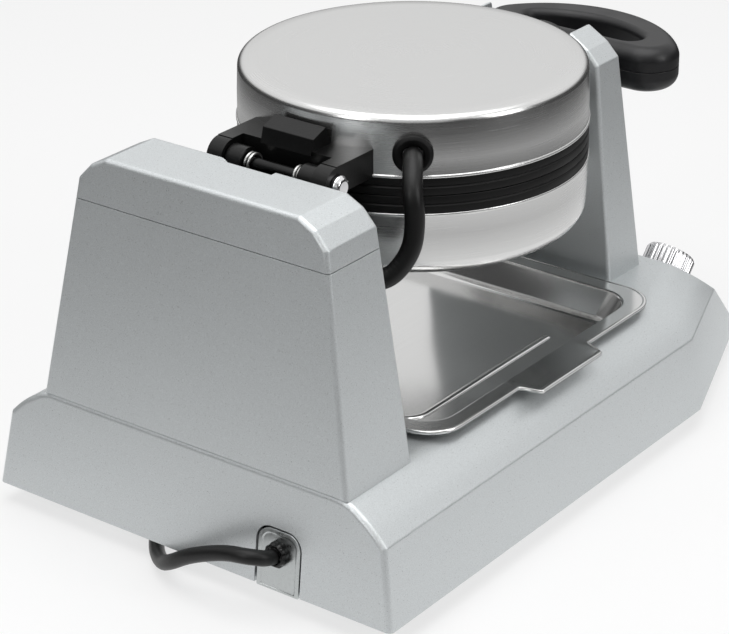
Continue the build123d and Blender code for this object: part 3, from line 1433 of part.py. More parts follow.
PARTS = {
    "base_housing": base_housing,
    "bottom_plate": bottom_plate,
    "feet": lambda: four(foot),
    "foot_screws": lambda: four(foot_screw),
    "drip_tray": drip_tray,
    "rear_tower": rear_tower,
    "rear_tower_cap": rear_tower_cap,
    "rear_bearing": rear_bearing,
    "front_tower": front_tower,
    "front_liner": front_liner,
    "tower_screws": tower_screws,
    "cord_plate": cord_plate,
    "cord_gland": cord_gland,
    "mains_cord": mains_cord,
    "mains_coil": mains_coil,
    "plug_body": plug_body,
    "plug_pins": plug_pins,
    "terminal_block": terminal_block,
    "thermal_cutout": thermal_cutout,
    "buzzer": buzzer,
    "thermostat": thermostat,
    "dial_plate": dial_plate,
    "dial_shaft": dial_shaft,
    "control_knob": control_knob,
    "power_lamp": lambda: lamp(lamp_places()[0]),
    "ready_lamp": lambda: lamp(lamp_places()[1]),
    "lamp_bezels": lamp_bezels,
    "switch_frame": switch_frame,
    "switch_rocker": rocker,
    "lower_cover": lambda: cover(LOWER_DEPTH, LOWER_EDGE_RADIUS, False),
    "lower_ring": lambda: ring(False),
    "lower_grid": lambda: grid(False),
    "lower_heater": lambda: heater(False),
    "lower_heat_board": lambda: heat_board(False),
    "head_bracket": head_bracket,
    "turning_shaft": turning_shaft,
    "shaft_collar": shaft_collar,
    "hinge_pin": hinge_pin,
    "pin_caps": pin_caps,
    "hinge_springs": hinge_springs,
    "lower_hub": lambda: hub(False),
    "lower_handle": lambda: handle(False),
    "upper_cover": lambda: cover(UPPER_DEPTH, UPPER_EDGE_RADIUS, True),
    "upper_ring": lambda: ring(True),
    "upper_grid": lambda: grid(True),
    "upper_heater": lambda: heater(True),
    "upper_heat_board": lambda: heat_board(True),
    "lid_hinge_casting": lid_hinge_casting,
    "upper_hub": lambda: hub(True),
    "upper_handle": lambda: handle(True),
    "jumper_grommet": jumper_grommet,
    "jumper_cord": jumper_cord,
    "jumper_gland": jumper_gland,
}

os.makedirs("parts", exist_ok=True)
for name, make in PARTS.items():
    print(name)
    export_step(make(), f"parts/{name}.step")
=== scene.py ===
# %% [markdown]
# # A waffle maker that turns over, dressed for its portrait
#
# The construction is already settled: every piece of the machine arrives as a node at its real
# size and place. This notebook gives those pieces their finish. It also makes the pieces whose
# beauty is in their surface, such as the drawn steel covers, the pressed drip tray and the leads,
# again as fine meshes. Units are metres, +Z is up, and the handle points towards -Y.

# %% Load the construction
import json
from math import atan2, cos, pi, radians, sin

import bmesh
import bpy
import numpy as np
from mathutils import Matrix, Vector


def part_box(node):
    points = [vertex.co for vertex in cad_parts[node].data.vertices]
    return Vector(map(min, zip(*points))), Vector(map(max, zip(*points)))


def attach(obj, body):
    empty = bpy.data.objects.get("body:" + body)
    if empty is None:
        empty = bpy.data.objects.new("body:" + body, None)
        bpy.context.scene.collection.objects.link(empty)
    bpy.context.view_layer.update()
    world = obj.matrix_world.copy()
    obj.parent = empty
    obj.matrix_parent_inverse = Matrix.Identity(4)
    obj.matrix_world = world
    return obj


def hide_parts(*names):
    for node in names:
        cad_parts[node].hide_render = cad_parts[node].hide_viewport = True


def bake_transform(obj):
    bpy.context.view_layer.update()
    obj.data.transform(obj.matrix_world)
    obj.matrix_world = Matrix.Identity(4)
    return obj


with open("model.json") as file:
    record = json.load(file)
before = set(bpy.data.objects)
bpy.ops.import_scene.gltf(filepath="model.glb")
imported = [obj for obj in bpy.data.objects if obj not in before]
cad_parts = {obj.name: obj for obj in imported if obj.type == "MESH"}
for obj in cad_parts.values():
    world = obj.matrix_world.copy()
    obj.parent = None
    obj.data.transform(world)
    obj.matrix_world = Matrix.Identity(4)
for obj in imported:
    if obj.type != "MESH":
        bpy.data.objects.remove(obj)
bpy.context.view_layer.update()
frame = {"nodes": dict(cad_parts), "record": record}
nodes = frame["nodes"]
scene = bpy.context.scene
MM = 0.001

# %% [markdown]
# ## The camera
#
# A camera could be placed by eye, but small errors in its angle make every edge disagree with the
# photograph. Here its place and focal length were fitted to level edges, upright edges and the
# ellipses of the round covers. The picture is cropped off centre, which a small lens shift repeats.

# %% Camera at the photograph's angle
PICTURE_WIDTH = 729
PICTURE_HEIGHT = 634
FOCAL_LENGTH = 2568.4  # in pixels of the picture
OPTICAL_CENTRE = (432.47, 325.01)  # in pixels from the picture's top left corner
CAMERA_PLACE = Vector((-0.8020, 1.1050, 0.7154))
CAMERA_AZIMUTH = radians(215.631)
CAMERA_ELEVATION = radians(25.420)
CAMERA_ROLL = radians(0.2805)


def add_camera():
    """Camera whose three axes come from azimuth, elevation and roll."""
    backwards = Vector((
        sin(CAMERA_AZIMUTH) * cos(CAMERA_ELEVATION),
        -cos(CAMERA_AZIMUTH) * cos(CAMERA_ELEVATION),
        sin(CAMERA_ELEVATION),
    ))
    level = (-backwards).cross(Vector((0, 0, 1))).normalized()
    upward = level.cross(-backwards)
    right = level * cos(CAMERA_ROLL) + upward * sin(CAMERA_ROLL)
    up = upward * cos(CAMERA_ROLL) - level * sin(CAMERA_ROLL)
    data = bpy.data.cameras.new("camera")
    data.sensor_fit = "HORIZONTAL"
    data.lens = data.sensor_width * FOCAL_LENGTH / PICTURE_WIDTH
    data.shift_x = (PICTURE_WIDTH / 2 - OPTICAL_CENTRE[0]) / PICTURE_WIDTH
    data.shift_y = (OPTICAL_CENTRE[1] - PICTURE_HEIGHT / 2) / PICTURE_WIDTH
    camera = bpy.data.objects.new("camera", data)
    turn = Matrix((right, up, backwards)).transposed().to_4x4()
    camera.matrix_world = Matrix.Translation(CAMERA_PLACE) @ turn
    scene.collection.objects.link(camera)
    scene.camera = camera
    print("lens", round(data.lens, 1), "mm, shift", round(data.shift_x, 4), round(data.shift_y, 4))


add_camera()
scene.view_settings.view_transform = "Standard"

# %% [markdown]
# ## Helpers for node trees
#
# A material is a graph of nodes. Writing each link by hand hides the idea, so a few small helpers
# make a node with its settings and set or link its inputs in one call.

# %% Node helpers


def add_node(tree, kind, inputs=None, **settings):
    """Adds a node, sets its attributes, then sets each input to a value or links a socket to it.

    The kind is the shader node's name without the words that all of them start with.
    """
    node = tree.nodes.new("ShaderNode" + kind)
    for name, value in settings.items():
        setattr(node, name, value)
    for name, value in (inputs or {}).items():
        socket = node.inputs[name]
        if isinstance(value, bpy.types.NodeSocket):
            tree.links.new(value, socket)
        else:
            socket.default_value = value
    return node


def calculate(tree, operation, *values, clamp=False):
    """Output of a math node whose inputs are numbers or sockets."""
    inputs = dict(enumerate(values))
    node = add_node(tree, "Math", inputs, operation=operation, use_clamp=clamp)
    return node.outputs[0]


def mix_shaders(tree, share, first, second):
    """The first shader where the share is 0 and the second where it is 1."""
    inputs = {"Fac": share, 1: first, 2: second}
    return add_node(tree, "MixShader", inputs).outputs[0]


def object_place(tree):
    """Place in the piece's own coordinates, which here are the machine's, in metres."""
    return add_node(tree, "TexCoord").outputs["Object"]


def ramp(tree, factor, stops):
    """Grey ramp from (position, grey) stops."""
    node = add_node(tree, "ValToRGB", {"Fac": factor})
    elements = node.color_ramp.elements
    while len(elements) < len(stops):
        elements.new(0.5)
    for element, (position, grey) in zip(elements, stops):
        element.position = position
        element.color = (grey, grey, grey, 1)
    return node.outputs["Color"]


# %% [markdown]
# ## The studio floor
#
# The photograph is a cut-out on white. A floor that is simply painted white turns grey wherever
# the lamps are weak. Instead, what the camera sees of the floor is mostly plain white, and only a
# share of it is the lit surface, which keeps the machine's soft shadow. The photograph's steel
# shows a white table close by and darkness beyond it, so rays from gloss see the floor fade with
# distance.

# %% Floor
FLOOR_SIZE = 8.0
FLOOR_SHARE_LIT = 0.34
FLOOR_COLOUR = (0.86, 0.86, 0.86, 1)
TABLE_REACH = 0.84
# (share of the reach, grey)
TABLE = [(0.34, 1.0), (0.48, 0.76), (0.60, 0.65), (1.0, 0.05)]


def looked_at(tree, path):
    """1 for rays that come straight from the camera or through glass, and 0 for others."""
    rays = path.outputs["Is Camera Ray"], path.outputs["Is Transmission Ray"]
    return calculate(tree, "MAXIMUM", *rays)


def add_floor():
    """Square floor, mostly its own white to the camera, and a round bright table to gloss."""
    mesh = bpy.data.meshes.new("floor")
    half = FLOOR_SIZE / 2
    corners = [(-half, -half, 0), (half, -half, 0), (half, half, 0), (-half, half, 0)]
    mesh.from_pydata(corners, [], [(0, 1, 2, 3)])
    floor = bpy.data.objects.new("floor", mesh)
    scene.collection.objects.link(floor)
    material = bpy.data.materials.new("studio_floor")
    material.use_nodes = True
    tree = material.node_tree
    tree.nodes.clear()
    path = add_node(tree, "LightPath")
    gloss = path.outputs["Is Glossy Ray"]
    place = object_place(tree)
    distance = add_node(tree, "VectorMath", {0: place}, operation="LENGTH")
    share = calculate(tree, "DIVIDE", distance.outputs["Value"], TABLE_REACH)
    strength = add_node(
        tree, "Mix", {"Factor": gloss, "A": 1.0, "B": ramp(tree, share, TABLE)}, data_type="FLOAT"
    )
    lit = add_node(tree, "BsdfDiffuse", {"Color": FLOOR_COLOUR})
    white = add_node(tree, "Emission", {"Color": (1, 1, 1, 1), "Strength": strength.outputs[0]})
    plain = calculate(tree, "MULTIPLY", looked_at(tree, path), 1 - FLOOR_SHARE_LIT)
    own = calculate(tree, "MAXIMUM", plain, gloss)
    surface = mix_shaders(tree, own, lit.outputs[0], white.outputs[0])
    add_node(tree, "OutputMaterial", {"Surface": surface})
    mesh.materials.append(material)


add_floor()
print("floor", FLOOR_SIZE, "m, table in the gloss", TABLE_REACH, "m")

# %% [markdown]
# ## The room in the gloss
#
# Steel has hardly a look of its own, it shows the room. A world that is all white would make it
# flat and pale. The photograph's steel mirrors darkness low down and bright light above, so the
# world has one grey ramp for gloss, a weaker one for all other light, and white for the eye.

# %% Surroundings
BACKDROP_WAY = (0.58, -0.81, 0.0)
BACKDROP_LIFT = 0.25
AMBIENT_STRENGTH = 0.45
# (sine of the height, raised towards the backdrop; grey)
ROOM = [(0.0, 0.05), (0.30, 0.08), (0.50, 0.92), (1.0, 1.0)]
FILL = [(0.0, 0.08), (0.30, 0.38), (0.65, 1.0)]


def add_world():
    """White for the eye; for gloss dark low down, bright above and towards the backdrop."""
    world = bpy.data.worlds.new("studio")
    scene.world = world
    world.use_nodes = True
    tree = world.node_tree
    tree.nodes.clear()

    def background(colour, strength):
        """Background shader of a colour and a strength."""
        inputs = {"Color": colour, "Strength": strength}
        return add_node(tree, "Background", inputs).outputs[0]

    path = add_node(tree, "LightPath")
    way = add_node(tree, "TexCoord").outputs["Generated"]
    height = add_node(tree, "SeparateXYZ", {"Vector": way}).outputs["Z"]
    towards = add_node(tree, "VectorMath", {0: way, 1: BACKDROP_WAY}, operation="DOT_PRODUCT")
    raised = calculate(tree, "MULTIPLY_ADD", towards.outputs["Value"], BACKDROP_LIFT, height)
    room = background(ramp(tree, raised, ROOM), 1.0)
    fill = background(ramp(tree, raised, FILL), AMBIENT_STRENGTH)
    white = background((1, 1, 1, 1), 1.0)
    lit = mix_shaders(tree, path.outputs["Is Glossy Ray"], fill, room)
    surface = mix_shaders(tree, looked_at(tree, path), lit, white)
    add_node(tree, "OutputWorld", {"Surface": surface})


add_world()
print("room from", ROOM[0][1], "to", ROOM[-1][1])

# %% [markdown]
# ## Lamps
#
# Small lamps make hard shadows and pinpoint glints. The photograph has broad bright lines on the
# rounded edges and slow gradients on the steel, which come from large soft boxes: one overhead
# and one tall strip on each side. A wide weak panel behind the camera keeps the covers from
# turning black when they are seen from the handle's side.

# %% Soft boxes
SOFT_BOXES = {
    # name: (place, width, height, watts)
    "overhead": ((0.0, 0.1, 1.7), 1.6, 1.6, 19.5),
    "back_panel": ((-1.3, 1.7, 1.0), 1.6, 0.9, 2.2),
    "left_strip": ((0.1, 2.0, 1.1), 0.5, 1.2, 8.0),
    "right_strip": ((-1.9, -0.2, 0.9), 0.6, 1.2, 11.0),
}
LAMP_AIM = (0.0, 0.0, 0.1)


def add_soft_box(name, place, width, height, watts):
    """Rectangular area lamp that looks at the machine."""
    data = bpy.data.lights.new(name, "AREA")
    data.shape = "RECTANGLE"
    data.size = width
    data.size_y = height
    data.energy = watts
    lamp = bpy.data.objects.new(name, data)
    turn = (Vector(LAMP_AIM) - Vector(place)).to_track_quat("-Z", "Y")
    lamp.matrix_world = Matrix.Translation(place) @ turn.to_matrix().to_4x4()
    scene.collection.objects.link(lamp)


for lamp_name, settings in SOFT_BOXES.items():
    add_soft_box(lamp_name, *settings)
print(len(SOFT_BOXES), "soft boxes")

# %% [markdown]
# ## Effects that several finishes share
#
# Paint, plastic and cast metal all have a fine grain, steel has strokes of the brush, and every
# gloss has its smudges. Building each effect once, as a node group with named inputs, keeps the
# materials short and makes the grain of one piece agree with the grain of the next.

# %% Shared node groups


def new_group(name, inputs, outputs):
    """Empty shader node group; inputs are {name: default}, outputs are names of plain values."""
    group = bpy.data.node_groups.new(name, "ShaderNodeTree")
    for label, default in inputs.items():
        kind = "NodeSocketVector" if isinstance(default, tuple) else "NodeSocketFloat"
        socket = group.interface.new_socket(name=label, in_out="INPUT", socket_type=kind)
        socket.default_value = default
    for label in outputs:
        group.interface.new_socket(name=label, in_out="OUTPUT", socket_type="NodeSocketFloat")
    start = group.nodes.new("NodeGroupInput")
    end = group.nodes.new("NodeGroupOutput")
    return group, start.outputs, end.inputs


def noise(tree, place, scale, detail, **inputs):
    """Noise from 0 to 1, read at a place."""
    inputs = {"Vector": place, "Scale": scale, "Detail": detail, **inputs}
    return add_node(tree, "TexNoise", inputs).outputs["Fac"]


def centred(tree, value, amount):
    """A noise value moved to run either side of 0, times an amount."""
    return calculate(tree, "MULTIPLY", calculate(tree, "SUBTRACT", value, 0.5), amount)


def fine_grain_group():
    """Grain: fast noise for the surface's pores and slow noise for cloudy unevenness."""
    group, start, end = new_group(
        "fine_grain",
        {"Scale": 900.0, "Cloud Scale": 9.0, "Amount": 0.1, "Cloud Amount": 0.1},
        ["Shade", "Height"],
    )
    place = object_place(group)
    pores = noise(group, place, start["Scale"], 1.0, Roughness=0.5)
    clouds = noise(group, place, start["Cloud Scale"], 4.0)
    fine = centred(group, pores, start["Amount"])
    slow = centred(group, clouds, start["Cloud Amount"])
    group.links.new(calculate(group, "ADD", fine, slow), end["Shade"])
    group.links.new(pores, end["Height"])
    return group


def brushing_group():
    """Brush lines: noise read in stretched coordinates, so that it varies across one direction.

    Inputs give the stretch along X, Y and Z; a small stretch is the direction of the strokes.
    """
    group, start, end = new_group(
        "brushing",
        {"Vector": (0.0, 0.0, 0.0), "Stretch": (1.0, 1.0, 1.0), "Amount": 0.1},
        ["Shade", "Height"],
    )
    inputs = {0: start["Vector"], 1: start["Stretch"]}
    stretched = add_node(group, "VectorMath", inputs, operation="MULTIPLY").outputs[0]
    lines = noise(group, stretched, 1.0, 5.0, Roughness=0.7)
    group.links.new(centred(group, lines, start["Amount"]), end["Shade"])
    group.links.new(lines, end["Height"])
    return group


def smudges_group():
    """Smudges: soft-edged patches, from 0 to an amount, that roughen a polished surface."""
    group, start, end = new_group("smudges", {"Scale": 14.0, "Amount": 0.1}, ["Mask"])
    patches = noise(group, object_place(group), start["Scale"], 6.0, Distortion=0.6)
    inputs = {"Value": patches, "From Min": 0.5, "From Max": 0.72}
    mask = add_node(group, "MapRange", inputs, interpolation_type="SMOOTHSTEP")
    scaled = calculate(group, "MULTIPLY", mask.outputs["Result"], start["Amount"])
    group.links.new(scaled, end["Mask"])
    return group


FINE_GRAIN = fine_grain_group()
BRUSHING = brushing_group()
SMUDGES = smudges_group()
print("effects", [group.name for group in (FINE_GRAIN, BRUSHING, SMUDGES)])

# %% [markdown]
# ## Finishes
#
# Each finish starts from one shader with its constant values set on it. What changes over the
# surface, such as the shade of the paint or the roughness of a smudge, comes from the groups.

# %% Material helpers
FINISHES = {}


def use_group(tree, group, inputs):
    """Places a node group in a material with its own values."""
    return add_node(tree, "Group", inputs, node_tree=group).outputs


def start_material(name, **constants):
    """Principled material, kept by name, with its constants set; returns tree and shader."""
    material = FINISHES[name] = bpy.data.materials.new(name)
    material.use_nodes = True
    tree = material.node_tree
    shader = tree.nodes["Principled BSDF"]
    for label, value in constants.items():
        shader.inputs[label.replace("_", " ").title().replace("Ior", "IOR")].default_value = value
    return tree, shader


def fine_grain(tree, *values):
    """Outputs of the grain group for a scale, a cloud scale and the two amounts."""
    names = "Scale", "Cloud Scale", "Amount", "Cloud Amount"
    return use_group(tree, FINE_GRAIN, dict(zip(names, values)))


def vary(tree, socket, colour, shade):
    """Feeds a socket with a colour made lighter or darker by a shade that runs about 0."""
    inputs = {0: colour, "Scale": calculate(tree, "ADD", shade, 1.0)}
    product = add_node(tree, "VectorMath", inputs, operation="SCALE")
    tree.links.new(product.outputs[0], socket)


def vary_value(tree, socket, value, *shades):
    """Feeds a socket with a plain value plus the shades, kept between 0 and 1."""
    for shade in shades:
        value = calculate(tree, "ADD", value, shade, clamp=True)
    tree.links.new(value, socket)


def add_bump(tree, shader, height, distance):
    """Bump from a height between 0 and 1, for a depth in metres."""
    bump = add_node(tree, "Bump", {"Height": height, "Distance": distance})
    tree.links.new(bump.outputs["Normal"], shader.inputs["Normal"])


# %% [markdown]
# ### Housing paint
#
# The base and towers have a light grey metallic paint with a fine sparkle: tiny flakes lie at
# slightly different angles. A half-metallic shader under a thin clear coat gives the broad soft
# sheen, and fast noise in shade and bump gives the flakes.

# %% Paint


def paint_finish():
    """Metallic grey paint with a fine sparkle."""
    tree, shader = start_material(
        "housing_paint", metallic=0.6, coat_weight=0.10, coat_roughness=0.28
    )
    grain = fine_grain(tree, 1900.0, 7.0, 0.5, 0.05)
    vary(tree, shader.inputs["Base Color"], (0.575, 0.600, 0.608), grain["Shade"])
    vary_value(tree, shader.inputs["Roughness"], 0.40, grain["Shade"])
    add_bump(tree, shader, grain["Height"], 6e-5)


paint_finish()

# %% [markdown]
# ### Mouldings, rubber and coatings
#
# Handles, heat rings, feet and leads are black, and the waffle grids have a dark coating. A
# plain black would look like a hole in the picture, and a picture of the real surface would
# suit one piece only. One function gives each its own colour and gloss, with grain and smudges.

# %% Plastics, rubber, coatings and inner parts


def plain(name, colour, roughness, scale, depth, shade=0.15, specular=0.5, metallic=0.0):
    """Moulded or cast surface: one colour with a fine grain, and smudges in its gloss."""
    tree, shader = start_material(name, specular_ior_level=specular, metallic=metallic)
    grain = fine_grain(tree, scale, 12.0, shade, shade)
    marks = use_group(tree, SMUDGES, {"Scale": 18.0, "Amount": 0.12})
    vary(tree, shader.inputs["Base Color"], colour, grain["Shade"])
    vary_value(tree, shader.inputs["Roughness"], roughness, marks["Mask"])
    add_bump(tree, shader, grain["Height"], depth)


plain("handle_plastic", (0.008, 0.008, 0.009), 0.40, 1100.0, 3e-5, specular=0.4)
plain("ring_plastic", (0.004, 0.004, 0.004), 0.45, 900.0, 3e-5, specular=0.22)
plain("liner_plastic", (0.02, 0.02, 0.021), 0.5, 900.0, 4e-5)
plain("hinge_paint", (0.003, 0.003, 0.003), 0.30, 700.0, 5e-5, specular=0.30)
plain("rubber", (0.002, 0.002, 0.002), 0.50, 800.0, 5e-5, specular=0.2)
plain("inner_plastic", (0.09, 0.09, 0.10), 0.5, 700.0, 5e-5)
plain("rocker_plastic", (0.01, 0.01, 0.011), 0.3, 900.0, 2e-5)
plain("gloss_black", (0.002, 0.002, 0.002), 0.14, 600.0, 2e-5, specular=0.3)
plain("insulating_board", (0.70, 0.66, 0.58), 0.85, 300.0, 2e-4)
plain("grid_coating", (0.055, 0.055, 0.06), 0.38, 500.0, 6e-5, metallic=0.4)
plain("pin_metal", (0.72, 0.68, 0.55), 0.28, 500.0, 2e-5, shade=0.06, metallic=1.0)
plain("heating_element", (0.32, 0.29, 0.26), 0.45, 500.0, 4e-5, metallic=1.0)
plain("cord_jacket", (0.005, 0.005, 0.005), 0.42, 700.0, 5e-5, specular=0.3)

# %% [markdown]
# ### Metals
#
# Polished steel is a mirror with faint strokes of the brush; zinc has a soft crystal bloom.
# On the round covers the strokes run round the wall, so the pattern is read in turned
# coordinates: the angle about the middle line, the distance from it, and the height.

# %% Steel, chrome and zinc
HEAD_Y = (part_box("upper_cover")[0].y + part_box("upper_cover")[1].y) / 2
AXIS_Z = (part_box("upper_cover")[0].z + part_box("lower_cover")[1].z) / 2
HEAD_MIDDLE = (0, HEAD_Y, AXIS_Z)


def turned_coordinates(tree):
    """(angle, radius, height) about the head's upright middle line, from Object coordinates."""
    inputs = {"Vector": object_place(tree), "Location": (0, -HEAD_Y, 0)}
    place = add_node(tree, "Mapping", inputs).outputs[0]
    split = add_node(tree, "SeparateXYZ", {"Vector": place}).outputs
    angle = calculate(tree, "ARCTAN2", split["Y"], split["X"])
    flat = add_node(tree, "CombineXYZ", {"X": split["X"], "Y": split["Y"]}).outputs[0]
    radius = add_node(tree, "VectorMath", {0: flat}, operation="LENGTH")
    inputs = {"X": angle, "Y": radius.outputs["Value"], "Z": split["Z"]}
    return add_node(tree, "CombineXYZ", inputs).outputs[0]


def steel(name, colour, roughness, stretch, amount, depth, coordinates=object_place):
    """Brushed steel: strokes change shade, roughness and bump, and smudges roughen it."""
    tree, shader = start_material(name, metallic=1.0)
    inputs = {"Vector": coordinates(tree), "Stretch": stretch, "Amount": amount}
    lines = use_group(tree, BRUSHING, inputs)
    marks = use_group(tree, SMUDGES, {"Scale": 16.0, "Amount": 0.03})
    vary(tree, shader.inputs["Base Color"], colour, lines["Shade"])
    vary_value(tree, shader.inputs["Roughness"], roughness, lines["Shade"], marks["Mask"])
    add_bump(tree, shader, lines["Height"], depth)


ROUND_THE_WALL = (2.0, 1800.0, 1800.0)
steel("cover_steel", (0.69, 0.69, 0.685), 0.25, ROUND_THE_WALL, 0.14, 1e-5, turned_coordinates)
steel("tray_steel", (0.66, 0.66, 0.655), 0.15, (1500.0, 12.0, 1500.0), 0.12, 2e-6)
steel("plain_steel", (0.50, 0.50, 0.49), 0.32, (900.0, 60.0, 900.0), 0.12, 2e-5)
steel("dark_steel", (0.03, 0.03, 0.03), 0.30, (900.0, 60.0, 900.0), 0.12, 5e-6)
steel("chrome", (0.80, 0.80, 0.81), 0.07, (200.0, 200.0, 200.0), 0.02, 5e-6)
steel("satin_chrome", (0.66, 0.66, 0.67), 0.15, (200.0, 200.0, 200.0), 0.02, 2e-6)


def zinc_finish():
    """Zinc plate: a bloom of small crystals in shade and roughness."""
    tree, shader = start_material("zinc_plate", metallic=1.0)
    inputs = {"Vector": object_place(tree), "Scale": 420.0}
    crystals = add_node(tree, "TexVoronoi", inputs, feature="F1")
    inputs = {"Value": crystals.outputs["Distance"], "To Min": -0.12, "To Max": 0.12}
    shade = add_node(tree, "MapRange", inputs).outputs["Result"]
    vary(tree, shader.inputs["Base Color"], (0.48, 0.50, 0.50), shade)
    vary_value(tree, shader.inputs["Roughness"], 0.34, shade)
    add_bump(tree, shader, crystals.outputs["Distance"], 1e-5)


zinc_finish()

# %% [markdown]
# ### Pilot lamps
#
# The two lamps are small caps of clear tinted plastic. As clear glass they would show the dark
# hole that they sit in. A shader that lets a third of the light through keeps their colour.

# %% Tinted lenses


def lens_finish(name, colour):
    """Clear tinted plastic of a pilot lamp."""
    tree, shader = start_material(name, roughness=0.12, transmission_weight=0.35, ior=1.49)
    grain = fine_grain(tree, 700.0, 60.0, 0.1, 0.2)
    vary(tree, shader.inputs["Base Color"], colour, grain["Shade"])


lens_finish("red_lens", (0.62, 0.03, 0.02))
lens_finish("green_lens", (0.05, 0.42, 0.12))
print(len(FINISHES), "finishes:", *FINISHES)

# %% [markdown]
# ## Dressing a piece of the construction
#
# The construction's meshes are loose triangles with hard edges. Real pressings, mouldings and
# castings have small rounds that catch the light. A copy of each mesh is merged, its flat faces
# are joined, smooth shading is cut at sharp edges, and a bevel rounds those edges.

# %% Copies with rounded edges
SMOOTH_ANGLE = radians(28)
FLAT_ANGLE = radians(0.6)
MERGE_DISTANCE = 1e-5
YOKE_SLOT = 34.5 * MM
YOKE_TIP_START = 223.6 * MM
YOKE_TIP_ROUND = 1.7 * MM
NEAR = 0.02 * MM
BODIES = frame["record"]["behaviour"]["bodies"]
BODY_OF = {node: body for body, members in BODIES.items() for node in members}


def settle(piece, node):
    """Makes a new piece ride on its node's body and stand in for the hidden node."""
    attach(piece, BODY_OF[node])
    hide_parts(node)
    print(piece.name, "on", BODY_OF[node], "with", len(piece.data.vertices), "points")


def new_piece(name, mesh, shape, finish):
    """Object in one finish from a mesh and its edited shape, with smooth faces."""
    for face in shape.faces:
        face.smooth = True
    shape.to_mesh(mesh)
    shape.free()
    mesh.materials.clear()
    mesh.materials.append(FINISHES[finish])
    piece = bpy.data.objects.new(name, mesh)
    scene.collection.objects.link(piece)
    return piece


def round_yoke_tips(shape):
    """Rounds the two sharp ridges where the yoke's slopes meet its slot."""

    def on_ridge(place):
        """Whether a place is high up on one of the slot's two edges."""
        return abs(abs(place.x) - YOKE_SLOT) < NEAR and place.z > YOKE_TIP_START

    ridges = [edge for edge in shape.edges if all(on_ridge(end.co) for end in edge.verts)]
    amounts = {"offset": YOKE_TIP_ROUND, "segments": 6, "profile": 0.5}
    bmesh.ops.bevel(shape, geom=ridges, affect="EDGES", clamp_overlap=False, **amounts)


def dress(node, finish, bevel):
    """Merged copy of a node with smooth curved faces and rounded edges.

    Weighted normals let each large flat face keep its own direction right up to its rounds.
    """
    mesh = nodes[node].data.copy()
    shape = bmesh.new()
    shape.from_mesh(mesh)
    bmesh.ops.remove_doubles(shape, verts=shape.verts, dist=MERGE_DISTANCE)
    bmesh.ops.dissolve_limit(shape, angle_limit=FLAT_ANGLE, verts=shape.verts, edges=shape.edges)
    if node == "front_tower":
        round_yoke_tips(shape)
    for edge in shape.edges:
        edge.smooth = len(edge.link_faces) == 2 and edge.calc_face_angle(pi) < SMOOTH_ANGLE
    piece = new_piece(node + ".dressed", mesh, shape, finish)
    rounds = piece.modifiers.new("rounded edges", "BEVEL")
    rounds.width = bevel
    rounds.segments = 2
    rounds.limit_method = "ANGLE"
    rounds.angle_limit = SMOOTH_ANGLE
    rounds.harden_normals = True
    weighted = piece.modifiers.new("flat faces first", "WEIGHTED_NORMAL")
    weighted.keep_sharp = True
    weighted.weight = 60
    settle(piece, node)


# %% [markdown]
# ## Painted, moulded and cast pieces
#
# Castings and mouldings have larger rounds than sheet, so each piece has its own. The pieces
# that stay inside the machine are seen through gaps at most. They keep their plain meshes, which
# would be too little for anything in the light, and get a finish only.

# %% Housing, towers and black pieces
DRESSED = [
    # (finish, {node: bevel in millimetres})
    ("housing_paint", {"base_housing": 0.7, "rear_tower": 0.5}),
    ("housing_paint", {"rear_tower_cap": 0.5, "front_tower": 0.6}),
    ("liner_plastic", {"front_liner": 0.4, "rear_bearing": 0.4}),
    ("zinc_plate", {"bottom_plate": 0.2}),
    ("rubber", {"feet": 0.6}),
    ("ring_plastic", {"dial_plate": 0.25}),
    ("chrome", {"lamp_bezels": 0.25}),
    ("ring_plastic", {"switch_frame": 0.4}),
    ("rocker_plastic", {"switch_rocker": 0.5}),
    ("red_lens", {"power_lamp": 0.3}),
    ("green_lens", {"ready_lamp": 0.3}),
    ("hinge_paint", {"head_bracket": 0.6, "lid_hinge_casting": 0.7}),
    ("plain_steel", {"turning_shaft": 0.3}),
    ("handle_plastic", {"lower_hub": 0.6, "upper_hub": 0.6}),
    ("handle_plastic", {"lower_handle": 0.3, "upper_handle": 0.3}),
    ("grid_coating", {"lower_grid": 0.7, "upper_grid": 0.7}),
    ("hinge_paint", {"jumper_gland": 0.6}),
    ("rubber", {"plug_body": 0.8}),
    ("pin_metal", {"plug_pins": 0.5}),
]
INSIDE = [
    ("dark_steel", ["hinge_pin"]),
    ("plain_steel", ["foot_screws", "tower_screws", "shaft_collar", "dial_shaft"]),
    ("inner_plastic", ["terminal_block", "thermal_cutout", "buzzer", "thermostat"]),
    ("heating_element", ["lower_heater", "upper_heater"]),
    ("insulating_board", ["lower_heat_board", "upper_heat_board"]),
]

for finish, bevels in DRESSED:
    for node_name, millimetres in bevels.items():
        dress(node_name, finish, millimetres * MM)

for finish, names in INSIDE:
    for node_name in names:
        nodes[node_name].data.materials.clear()
        nodes[node_name].data.materials.append(FINISHES[finish])

# %% [markdown]
# ## Surfaces from two parameters
#
# A drawn cover, a ring or a cap is a profile turned about a line; a lead is a circle carried
# along a path. Each is a grid of points that numpy works out in one go, with faces between
# neighbours, and one small function turns any such grid into a mesh. Modifiers could spin or
# sweep a line too, but a formula can also flute a knob or squeeze a wrinkle into a bend.

# %% Grid to mesh


